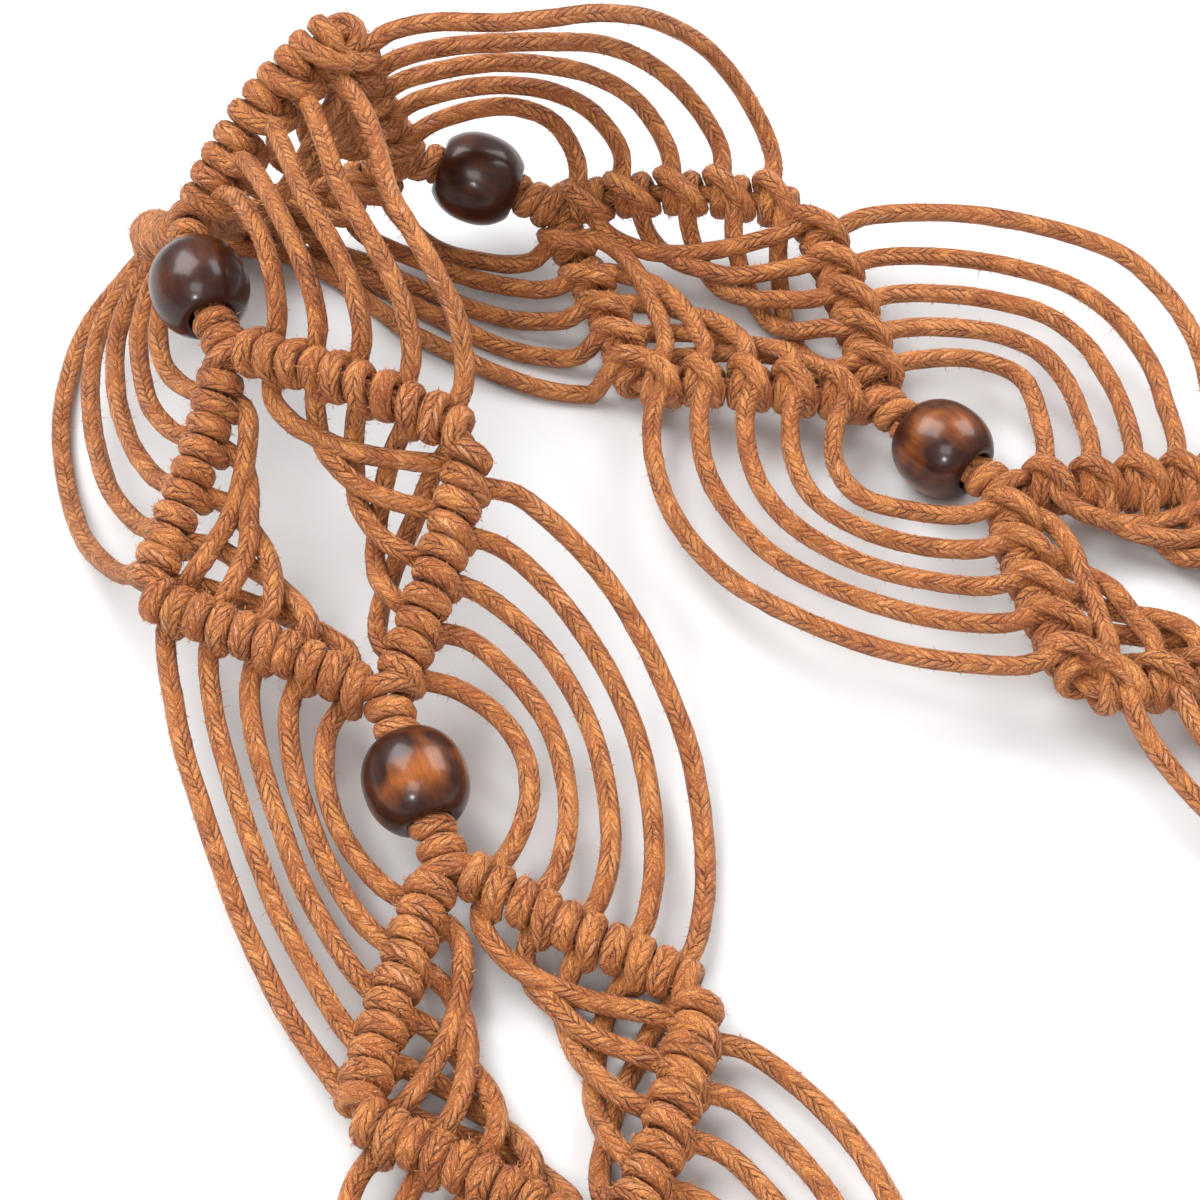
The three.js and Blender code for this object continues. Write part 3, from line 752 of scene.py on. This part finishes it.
# %% [markdown]
# ## From a way to a tube
# A smooth curve goes through the points of a way. A ring of corners is set square to the
# curve every millimetre or so, carried from ring to ring without twisting, and each ring
# is pressed flatter where the cord is pulled round a bar. The tube also gets a map: once
# round the cord from left to right, and its length in cord widths upwards. The braid is
# drawn on that map, so it follows the cord wherever it goes. A curve object with a bevel
# would be quicker to make, but its section is the same everywhere.

# %% Smooth curve
LONG_CHORD = 3.5
LONG_STEP = 1.7


def smooth_way(points, notes, step):
    """A smooth curve through the points, with the notes carried along it."""
    chord = np.linalg.norm(np.diff(points, axis=0), axis=1)
    knots = np.sqrt(np.maximum(chord, 1e-6))
    slope = np.diff(points, axis=0) / knots[:, None]
    tangent = np.empty_like(points)
    before, after = knots[:-1, None], knots[1:, None]
    tangent[1:-1] = (slope[:-1] * after + slope[1:] * before) / (before + after)
    tangent[0], tangent[-1] = slope[0], slope[-1]
    count = np.maximum(1, np.ceil(chord / np.where(chord > LONG_CHORD, step * LONG_STEP, step))).astype(int)
    index = np.repeat(np.arange(len(chord)), count)
    first = np.concatenate([[0], np.cumsum(count)[:-1]])
    f = ((np.arange(len(index)) - first[index]) / count[index])[:, None]
    k = knots[index][:, None]
    curve = eased(f, points[index], k * tangent[index], points[index + 1], k * tangent[index + 1])
    carried = notes[index] * (1 - f) + notes[index + 1] * f
    return np.vstack([curve, points[-1]]), np.vstack([carried, notes[-1]])


# %% Frames carried along a curve
def carried_frames(curve):
    """Tangent and two square directions at each point, turning as little as possible."""
    tangent = unit(np.gradient(curve, axis=0))
    normal = np.empty_like(curve)
    normal[0] = unit(np.cross(tangent[0], [0, 0, 1.0]))
    for i in range(len(curve) - 1):
        step = curve[i + 1] - curve[i]
        c = step @ step
        n = normal[i] - (2 / c) * (step @ normal[i]) * step
        t = tangent[i] - (2 / c) * (step @ tangent[i]) * step
        turn = tangent[i + 1] - t
        size = turn @ turn
        normal[i + 1] = n if size < 1e-12 else n - (2 / size) * (turn @ n) * turn
    return tangent, normal, np.cross(tangent, normal)


# %% A piece from corners and faces
def raise_piece(name, verts, corners, sizes):
    """A piece from corners in millimetres, the corner numbers of its faces and their sizes."""
    mesh = bpy.data.meshes.new(name)
    mesh.vertices.add(len(verts))
    mesh.vertices.foreach_set("co", (verts * METRES).ravel())
    mesh.loops.add(len(corners))
    mesh.loops.foreach_set("vertex_index", corners)
    mesh.polygons.add(len(sizes))
    mesh.polygons.foreach_set("loop_start", np.concatenate([[0], np.cumsum(sizes)[:-1]]))
    mesh.polygons.foreach_set("loop_total", sizes)
    mesh.update()
    piece = bpy.data.objects.new(name, mesh)
    bpy.context.scene.collection.objects.link(piece)
    return piece


# %% Rings round a curve
CORD_SIDES = 10
FLATTER = 0.16
WIDER = 0.14
UNEVEN = 0.022


def cord_rings(curve, frames, notes, radius):
    """Rings of corners round a curve, pressed flatter where the cord is tight."""
    tangent, normal, binormal = frames
    squeeze, tight = unit(notes[:, :3]), notes[:, 3:4]
    angle = np.arange(CORD_SIDES) * 2 * math.pi / CORD_SIDES
    offset = normal[:, None] * np.cos(angle)[:, None] + binormal[:, None] * np.sin(angle)[:, None]
    press = squeeze - tangent * (squeeze * tangent).sum(1, keepdims=True)
    press /= np.maximum(np.linalg.norm(press, axis=1, keepdims=True), 1e-6)
    wide = np.cross(tangent, press)

    def part(way):
        """The part of each corner's offset that points the given way."""
        return way[:, None] * (offset * way[:, None]).sum(-1, keepdims=True)

    offset += (part(wide) * WIDER - part(press) * FLATTER) * tight[:, None]
    uneven = 1 + rng.normal(0, UNEVEN, offset.shape[:2] + (1,))
    rings = curve[:, None] + offset * radius * uneven
    rings[..., 2] = np.maximum(rings[..., 2], 0)
    return rings


# %% Tube of a cord
def cord_mesh(name, way, radius=CORD_RADIUS, step=0.9):
    """One closed tube along a way, with its map. Long free stretches bend little, so
    their rings stand further apart."""
    points, squeeze, tight = way.arrays()
    curve, notes = smooth_way(points, np.column_stack([squeeze, tight]), step)
    curve[:, 2] = np.maximum(curve[:, 2], radius * 0.98)
    frames = carried_frames(curve)
    rings = cord_rings(curve, frames, notes, radius)
    count, sides = len(curve), CORD_SIDES
    caps = [curve[0] - frames[0][0] * radius * 0.35, curve[-1] + frames[0][-1] * radius * 0.35]
    i, j = np.divmod(np.arange((count - 1) * sides), sides)
    j2 = (j + 1) % sides
    quads = np.column_stack([i * sides + j, i * sides + j2, (i + 1) * sides + j2, (i + 1) * sides + j])
    side, last = np.arange(sides), (count - 1) * sides
    first_cap = np.column_stack([np.full(sides, count * sides), (side + 1) % sides, side])
    last_cap = np.column_stack([np.full(sides, count * sides + 1), last + side, last + (side + 1) % sides])
    corners = np.concatenate([quads.ravel(), first_cap.ravel(), last_cap.ravel()])
    sizes = np.concatenate([np.full(len(quads), 4), np.full(2 * sides, 3)])
    piece = raise_piece(name, np.vstack([rings.reshape(-1, 3), caps]), corners, sizes)
    piece.data.polygons.foreach_set("use_smooth", np.ones(len(sizes), dtype=bool))
    length = travelled(curve)
    v = length / CORD_DIAMETER * sides
    quad_map = np.stack([j, v[i], j + 1, v[i], j + 1, v[i + 1], j, v[i + 1]], 1)
    cap_map = np.zeros(2 * sides * 3 * 2)
    cord_map = piece.data.uv_layers.new(name="cord_map")
    cord_map.data.foreach_set("uv", np.concatenate([quad_map.ravel() / sides, cap_map]))
    piece.data.update()
    piece.data.validate()
    return piece, length[-1], (curve, *frames)


# %% Make the twelve cords
cords, surfaces = [], []


def make_cord(name, way, **settings):
    """Makes one cord and keeps its surface for the fuzz."""
    piece, length, surface = cord_mesh(name, way, **settings)
    surfaces.append(surface)
    print(name, round(length), "mm,", len(piece.data.polygons), "faces")
    return piece


SIDE_NAMES = {1: "right", -1: "left"}
for (side, order), way in WORKING.items():
    cords.append(make_cord(f"cord_{SIDE_NAMES[side]}_{order + 1}", way))
for side, way in MIDDLE.items():
    cords.append(make_cord(f"cord_middle_{SIDE_NAMES[side]}", way, radius=CORE_CORD_RADIUS, step=1.0))

# %% [markdown]
# ## Bindings at the ends
# A binding is cord wound tightly round the gathered cords, turn against turn. It is a
# coil, with both of its ends tucked in under the turns. A screw modifier could make it,
# but as one more way for the same tube it gets the same map and the same braid.

# %% Bound collars
def collar_way(forward):
    _, ahead, beside, collar = end_axes(forward)
    turns = int(WRAP_LENGTH / CORD_DIAMETER) - 1
    turn = np.linspace(0, 2 * math.pi * turns, 20 * turns + 1)
    eighth = 0.25 * math.pi
    tucked = np.clip(eighth - turn, 0, None) + np.clip(turn - turn[-1] + eighth, 0, None)
    reach = COLLAR_INNER_RADIUS + CORD_RADIUS * 0.9 - 1.5 * tucked
    along = (turn / turn[-1] - 0.5) * (WRAP_LENGTH - CORD_DIAMETER)
    middle = collar + np.outer(along, ahead)
    points = middle + np.outer(np.cos(turn) * reach, beside) + np.outer(np.sin(turn) * reach, [0, 0, 1])
    way = Way()
    way.add(points, unit(points - middle), np.full(len(turn), 0.6))
    return way


collars = {}
for forward, end in ((-1, "back"), (1, "front")):
    collars[end] = make_cord(f"binding_{end}", collar_way(forward), step=1.2)

# %% [markdown]
# ## A wooden bead
# The beads are turned barrels with a drilled bore. One is made as a turner would: start
# from a round block, mark rings along it, bring each ring to the barrel's curve, drill it
# and ease the lips of the bore. A squashed sphere would be quicker, but it has no flat
# ends and no bore. The others are copies of it, each turned a little and cut from another
# bit of wood.

# %% Marks on the bead's block
RING_HEIGHTS = [0.0, 1.1, 2.1, 3.0, 3.7, 4.15]
HALF_BEAD = 4.4
NEAR = 0.01


def barrel_radius(height):
    """Radius of the barrel at a height over its middle, both in millimetres."""
    return BEAD_DIAMETER / 2 * (1 - (abs(height) / 5.3) ** 2.35) ** 0.52


def select_only(piece, kind, test):
    """Selects, in edit mode, the vertices, edges or polygons that pass the test."""
    bpy.ops.mesh.select_all(action="DESELECT")
    bpy.ops.object.mode_set(mode="OBJECT")
    for item in getattr(piece.data, kind):
        item.select = test(item)
    bpy.ops.object.mode_set(mode="EDIT")


def on_lip(piece, edge):
    """Whether an edge runs round the mouth of the bore."""
    ends = [piece.data.vertices[v].co / METRES for v in edge.vertices]
    level = abs(ends[0].z - ends[1].z) < NEAR and abs(abs(ends[0].z) - HALF_BEAD) < NEAR
    return level and all(math.hypot(end.x, end.y) < BORE_RADIUS + 0.05 for end in ends)


# %% Turn one bead
def turn_bead():
    bpy.ops.object.select_all(action="DESELECT")
    bpy.ops.mesh.primitive_cylinder_add(
        vertices=32, radius=BEAD_DIAMETER / 2 * METRES, depth=2 * HALF_BEAD * METRES, end_fill_type="NGON")
    bead = bpy.context.object
    bead.name = "bead_pattern"
    bpy.ops.object.mode_set(mode="EDIT")
    heights = sorted({h * s for h in RING_HEIGHTS for s in (1, -1)})
    for height in heights:
        bpy.ops.mesh.select_all(action="SELECT")
        bpy.ops.mesh.bisect(plane_co=(0, 0, height * METRES), plane_no=(0, 0, 1))
    bpy.ops.mesh.select_mode(type="VERT")
    for height in [*heights, -HALF_BEAD, HALF_BEAD]:
        select_only(bead, "vertices", lambda vert, height=height: abs(vert.co.z / METRES - height) < NEAR)
        size = barrel_radius(height) / (BEAD_DIAMETER / 2)
        bpy.ops.transform.resize(value=(size, size, 1))
    bpy.ops.mesh.select_mode(type="FACE")
    select_only(bead, "polygons", lambda face: abs(face.normal.z) > 0.98)
    bpy.ops.mesh.inset(thickness=(barrel_radius(HALF_BEAD) - BORE_RADIUS) * METRES)
    bpy.ops.mesh.bridge_edge_loops()
    bpy.ops.mesh.select_mode(type="EDGE")
    select_only(bead, "edges", lambda edge: on_lip(bead, edge))
    bpy.ops.mesh.bevel(offset=0.4 * METRES, segments=2)
    bpy.ops.mesh.select_all(action="SELECT")
    bpy.ops.mesh.normals_make_consistent(inside=False)
    bpy.ops.object.mode_set(mode="OBJECT")
    smooth = bead.modifiers.new("smooth", "SUBSURF")
    smooth.levels = smooth.render_levels = 1
    bpy.ops.object.modifier_apply(modifier="smooth")
    bpy.ops.object.shade_smooth()
    return bead


pattern = turn_bead()
print("bead:", len(pattern.data.polygons), "faces,", [round(v * 1000, 2) for v in pattern.dimensions], "mm")


# %% String the beads
# How much amber shows on each bead: partly its stain, partly a painted glow of light through the wood.
THIN_STAIN_AND_GLOW = [0.5, 0.8, 0.3, 0.6, 0.8, 0.2, 0.12, 1.0, 0.4, 0.7, 0.9, 0.3]
NEXT_WOOD = np.array([23.7, 11.3, 0])


def string_bead(index):
    """A copy of the bead in its place on the middle cords, with its wood marked on it."""
    bead = pattern.copy()
    bead.data = pattern.data.copy()
    bead.name = bead.data.name = f"bead_{index + 1:02d}_turned"
    bpy.context.scene.collection.objects.link(bead)
    grain = np.empty(len(bead.data.vertices) * 3, dtype=np.float32)
    bead.data.vertices.foreach_get("co", grain)
    grain = grain.reshape(-1, 3) / METRES + index * NEXT_WOOD
    wood = bead.data.attributes.new("wood_place", "FLOAT_VECTOR", "POINT")
    wood.data.foreach_set("vector", grain.astype(np.float32).ravel())
    thin_stain_and_glow = bead.data.attributes.new("thin_stain_and_glow", "FLOAT", "POINT")
    thin_stain_and_glow.data.foreach_set("value", np.full(len(bead.data.vertices), THIN_STAIN_AND_GLOW[index], dtype=np.float32))
    middle, along, across, out, _ = belt_frame(np.array([bead_distance(index)]))
    spin = Matrix.Rotation(rng.random() * 6.28, 4, "Z")
    place = Matrix.Translation(Vector(((middle[0] + SHIFT) * METRES).tolist()))
    turn = Matrix((across[0].tolist(), out[0].tolist(), along[0].tolist())).transposed().to_4x4()
    bead.data.transform(place @ turn @ spin)
    return bead


beads = [string_bead(index) for index in range(BEADS)]
bpy.data.objects.remove(pattern)
print("beads strung:", len(beads))

# %% [markdown]
# ## Fuzz
# Cotton cord is never quite smooth: short broken fibres stand off it all along, and
# against a white table they give it a soft edge. Hair could be grown on the cords, but it
# isn't exported with a model, so each fibre is a tiny closed spike.

# %% Fuzz fibres
FIBRES = 49000
FIBRE_LEAN = 0.65
FIBRE_THICKNESS = 0.062
SHORTEST_FIBRE = 0.2
LONGEST_FIBRE = 0.9


def fuzz_mesh(name, chosen, count):
    """Spikes standing off the given cords' surfaces."""
    rings = np.array([len(surface[0]) for surface in chosen])
    which = rng.choice(len(chosen), count, p=rings / rings.sum())
    parts = []
    for index, (curve, tangent, normal, binormal) in enumerate(chosen):
        number = int((which == index).sum())
        ring = rng.integers(0, len(curve), number)
        angle = rng.random(number) * 2 * math.pi
        outward = normal[ring] * np.cos(angle)[:, None] + binormal[ring] * np.sin(angle)[:, None]
        parts.append((curve[ring] + outward * CORD_RADIUS * 0.93, outward, tangent[ring]))
    base, out, along = (np.vstack(part) for part in zip(*parts))
    beside = np.cross(out, along)
    lean = rng.normal(0, FIBRE_LEAN, (len(base), 2))
    way = unit(out + along * lean[:, :1] + beside * lean[:, 1:])
    reach = np.minimum(SHORTEST_FIBRE + rng.exponential(0.14, len(base)), LONGEST_FIBRE)[:, None]
    angles = np.array([0, 2.094, 4.189])[:, None]
    root = base[:, None] + (along[:, None] * np.cos(angles) + beside[:, None] * np.sin(angles)) * FIBRE_THICKNESS
    tip = base + way * (reach + 0.07)
    tip[:, 2] = np.maximum(tip[:, 2], 0.05)
    root[:, :, 2] = np.maximum(root[:, :, 2], 0.03)
    verts = np.concatenate([root, tip[:, None]], axis=1).reshape(-1, 3)
    spike = np.array([0, 1, 3, 1, 2, 3, 2, 0, 3, 0, 2, 1])
    corners = (np.arange(len(base))[:, None] * 4 + spike).ravel()
    return raise_piece(name, verts, corners, np.full(len(corners) // 3, 3))


fuzz = [
    fuzz_mesh("fuzz_right", surfaces[:HITCHES], FIBRES),
    fuzz_mesh("fuzz_left", surfaces[HITCHES:2 * HITCHES], FIBRES),
    fuzz_mesh("fuzz_middle", surfaces[2 * HITCHES:], FIBRES // 8),
]
print("fibres:", sum(len(piece.data.polygons) // 4 for piece in fuzz))

# %% [markdown]
# ## Waxed braided cotton
# Close up, the cord is a round braid: plaits lean left and right by turns round it and
# meet in a herringbone. The braid is drawn on the cord's own map with plain arithmetic:
# the map is cut into columns round the cord, and a slanting sawtooth in each column gives
# the plaits. Each plait is a few strands wide. Shade is painted into the creases between
# plaits and strands, fibres streak along them, and wax on the crests makes them less rough,
# with its shine also painted on as pale highlights. Modelling every strand instead would take millions of faces.

# %% Braid pattern
PLAITS = 6
PLAIT_PITCH = 0.53
PLAIT_SLANT = 1.5
STRANDS = 4


def hump(value):
    """Nought at both ends of a fraction's run and one in its middle."""
    return value * 4.0 * (value * -1.0 + 1.0)


def braid_pattern(finish, place):
    """Height of the plaits and of their strands, streaks along them, and each plait's tone."""
    cord_map = finish.node("ShaderNodeUVMap", {"uv_map": "cord_map"})
    parts = finish.node("ShaderNodeSeparateXYZ", Vector=cord_map.outputs["UV"])
    round_cord, up_cord = Value(finish, parts.outputs["X"]), Value(finish, parts.outputs["Y"])
    columns = round_cord * PLAITS + finish.noise(place, 1100.0, 3.0, 0.7).ramp(0.2, 0.8, -0.16, 0.16)
    column, across = columns.maths("FLOOR"), columns.maths("FRACT")
    odd = column.maths("MODULO", 2.0)
    slant = (odd * -2.0 + 1.0) * (across + -0.5) * PLAIT_SLANT
    rows = up_cord.maths("DIVIDE", PLAIT_PITCH) + slant + odd * 0.5
    rows = rows + finish.noise(place, 700.0, 2.0, 0.6).ramp(0.2, 0.8, -0.3, 0.3)
    within = rows.maths("FRACT")
    plait = hump(within).maths("POWER", 0.75) * hump(across).maths("POWER", 0.35)
    wander = finish.noise(place, 1900.0, 2.0, 0.6).ramp(0.2, 0.8, -2.6, 2.6)
    strands = (within * (math.pi * STRANDS) + wander).maths("SINE").maths("ABSOLUTE")
    streaks = finish.node("ShaderNodeCombineXYZ", X=column * 7.3 + across * 1.2, Y=rows * 7.5).outputs[0]
    leaf = finish.node("ShaderNodeCombineXYZ", X=column, Y=rows.maths("FLOOR")).outputs[0]
    leaf_tone = finish.node("ShaderNodeTexWhiteNoise", {"noise_dimensions": "2D"}, Vector=leaf).outputs["Value"]
    return plait, strands, streaks, Value(finish, leaf_tone)


# %% Cord finish
# Colour of the painted highlights on the crests.
PAINTED_GLINT = (0.95, 0.62, 0.46, 1)


def waxed_cotton(name, light, mid, dark):
    """Fibres from mid to light, painted shade in the creases, wax gloss and painted highlights on the crests."""
    finish = Finish(name)
    place = finish.node("ShaderNodeTexCoord").outputs["Object"]
    plait, strands, streaks, leaf_tone = braid_pattern(finish, place)
    fibres = finish.noise(streaks, 1.0, 3.0, 0.7)
    glints = finish.noise(streaks, 0.55, 2.0, 0.6)
    patches = finish.noise(place, 95.0, 3.0, 0.6)
    hairs = finish.noise(place, 5200.0, 2.0, 0.7)

    # Tone differs at random between fibres, plaits and patches; the strands term also paints the middle of each
    # strand a little lighter, as painted shading.
    tone = fibres * 1.3 + leaf_tone * 0.5 + patches * 0.6 + hairs * 0.6 + strands * 0.5
    colour = finish.blend(tone.ramp(1.5, 2.25), mid, light)
    washes = finish.noise(place, 260.0, 2.0, 0.6).ramp(0.5, 0.66, 0.0, 0.65)
    colour = finish.blend(washes, colour, mid)

    # Painted shade: the creases between plaits and between strands are darkened, the lines broken up by noise; the
    # hairs term adds fine dark fibre specks to the same mask.
    broken_shade = finish.noise(place, 420.0, 2.0, 0.6).ramp(0.42, 0.56, 1.0, 0.12)
    crease_shade_and_specks = (plait.ramp(0.9, 0.25, 0.0, 0.5) + plait.ramp(0.45, 0.08, 0.0, 0.5)) * broken_shade
    crease_shade_and_specks = crease_shade_and_specks.maths("MAXIMUM", strands.ramp(0.4, 0.0, 0.0, 0.5))
    crease_shade_and_specks = crease_shade_and_specks.maths("MAXIMUM", hairs.ramp(0.42, 0.3, 0.0, 0.6))
    colour = finish.blend(crease_shade_and_specks, colour, dark)

    # Painted highlights: pale glints on the plait crests and fine bright specks are mixed into the colour. The
    # same wax mask also lowers the roughness there, which is real gloss.
    wax_and_glint = glints.ramp(0.58, 0.68) * plait.ramp(0.3, 0.75) * patches.ramp(0.38, 0.6, 0.25, 1.0)
    speck_glints = hairs.ramp(0.56, 0.7) * plait.ramp(0.25, 0.7, 0.0, 0.8)
    colour = finish.blend((wax_and_glint * 0.6).maths("MAXIMUM", speck_glints * 0.6), colour, PAINTED_GLINT)

    finish.surface(colour, wax_and_glint.ramp(0.0, 1.0, 0.48, 0.22),
                   Specular_IOR_Level=0.38, Sheen_Weight=0.05, Sheen_Roughness=0.5)
    finish.bumped(plait + fibres * 0.6 + strands * 0.3, 1.0, 0.0003)
    return finish.material


cord_finish = waxed_cotton(
    "waxed_cotton", light=(0.92, 0.36, 0.090, 1), mid=(0.44, 0.108, 0.018, 1), dark=(0.075, 0.009, 0.002, 1))
print("cord finish:", len(cord_finish.node_tree.nodes), "nodes")

# %% Fuzz finish
fuzz_tone = Finish("cotton_fuzz")
fuzz_place = fuzz_tone.node("ShaderNodeTexCoord").outputs["Object"]
fuzz_colour = fuzz_tone.blend(fuzz_tone.noise(fuzz_place, 300.0), (0.60, 0.21, 0.055, 1), (0.82, 0.38, 0.13, 1))
fuzz_tone.surface(fuzz_colour, 0.75)
print("fuzz finish:", len(fuzz_tone.tree.nodes), "nodes")

# %% [markdown]
# ## Lacquered wood
# The beads are dark stained wood under a hard gloss. Where the stain is thin, soft amber
# patches are painted in: partly the amber wood itself and partly a painted glow of light
# shining through it. Fine dark pores run along the grain. The grain is noise drawn out
# along the bore. It is read from the place that each point had in the wood before the
# bead was strung, because Object coordinates don't follow the bore.

# %% Bead finish
def lacquered_wood(name):
    """Dark stain over amber wood and painted glow, with grain and pores along the bore, under lacquer."""
    finish = Finish(name)
    wood = finish.node("ShaderNodeAttribute", {"attribute_name": "wood_place"}).outputs["Vector"]
    along_grain = finish.node("ShaderNodeMapping", Vector=wood, Scale=(1.0, 1.0, 0.16)).outputs[0]
    grain = finish.noise(along_grain, 1.7, 4.0, 0.62)
    pores = finish.noise(along_grain, 7.0, 2.0, 0.5)
    stain = finish.noise(wood, 0.2, 2.0, 0.5)
    height = Value(finish, finish.node("ShaderNodeSeparateXYZ", Vector=wood).outputs["Z"])
    middle = height.maths("ABSOLUTE").ramp(4.3, 1.2)
    thin_stain_and_glow = finish.node("ShaderNodeAttribute", {"attribute_name": "thin_stain_and_glow"}).outputs["Fac"]
    # Painted glow: amber patches where the stain is thin, standing for the wood's own amber and for light shining
    # through it, kept to the middle of the bead's length and scaled per bead.
    amber_and_glow = stain.ramp(0.42, 0.64) * grain.ramp(0.3, 0.62, 0.6, 1.0) * thin_stain_and_glow * middle
    colour = finish.blend(grain.ramp(0.3, 0.7), (0.018, 0.0045, 0.003, 1), (0.042, 0.0095, 0.0045, 1))
    colour = finish.blend(amber_and_glow, colour, (0.36, 0.098, 0.016, 1))
    colour = finish.blend(pores.ramp(0.58, 0.7, 0.0, 0.25), colour, (0.018, 0.005, 0.003, 1))
    finish.surface(colour, grain.ramp(0.3, 0.7, 0.3, 0.4),
                   Specular_IOR_Level=0.25, Coat_Weight=0.4, Coat_Roughness=0.16)
    finish.bumped(grain, 0.35, 0.0001)
    return finish.material


bead_finish = lacquered_wood("lacquered_wood")
print("bead finish:", len(bead_finish.node_tree.nodes), "nodes")

# %% [markdown]
# ## Putting it together
# Every piece rides on the belt's one body and stands for the plain solids of the model.

# %% Ride, stand for and give each piece its finish
diamond_nodes = [f"diamond_{i + 1:02d}" for i in range(DIAMONDS)]
core_nodes = [f"core_{i + 1:02d}" for i in range(BEADS)]
for piece in cords:
    piece.data.materials.append(cord_finish)
    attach(piece, "root")
    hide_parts(*diamond_nodes, *core_nodes, "tassel_back", "tassel_front")
for end, piece in collars.items():
    piece.data.materials.append(cord_finish)
    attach(piece, "root")
    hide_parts(f"wrap_{end}")
for piece in fuzz:
    piece.data.materials.append(fuzz_tone.material)
    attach(piece, "root")
for index, piece in enumerate(beads):
    piece.data.materials.clear()
    piece.data.materials.append(bead_finish)
    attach(piece, "root")
    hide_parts(f"bead_{index + 1:02d}")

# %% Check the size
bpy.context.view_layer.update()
faces = [face for piece in (*cords, *collars.values(), *fuzz, *beads) for face in piece.data.polygons]
print("triangles added:", sum(len(face.vertices) - 2 for face in faces))
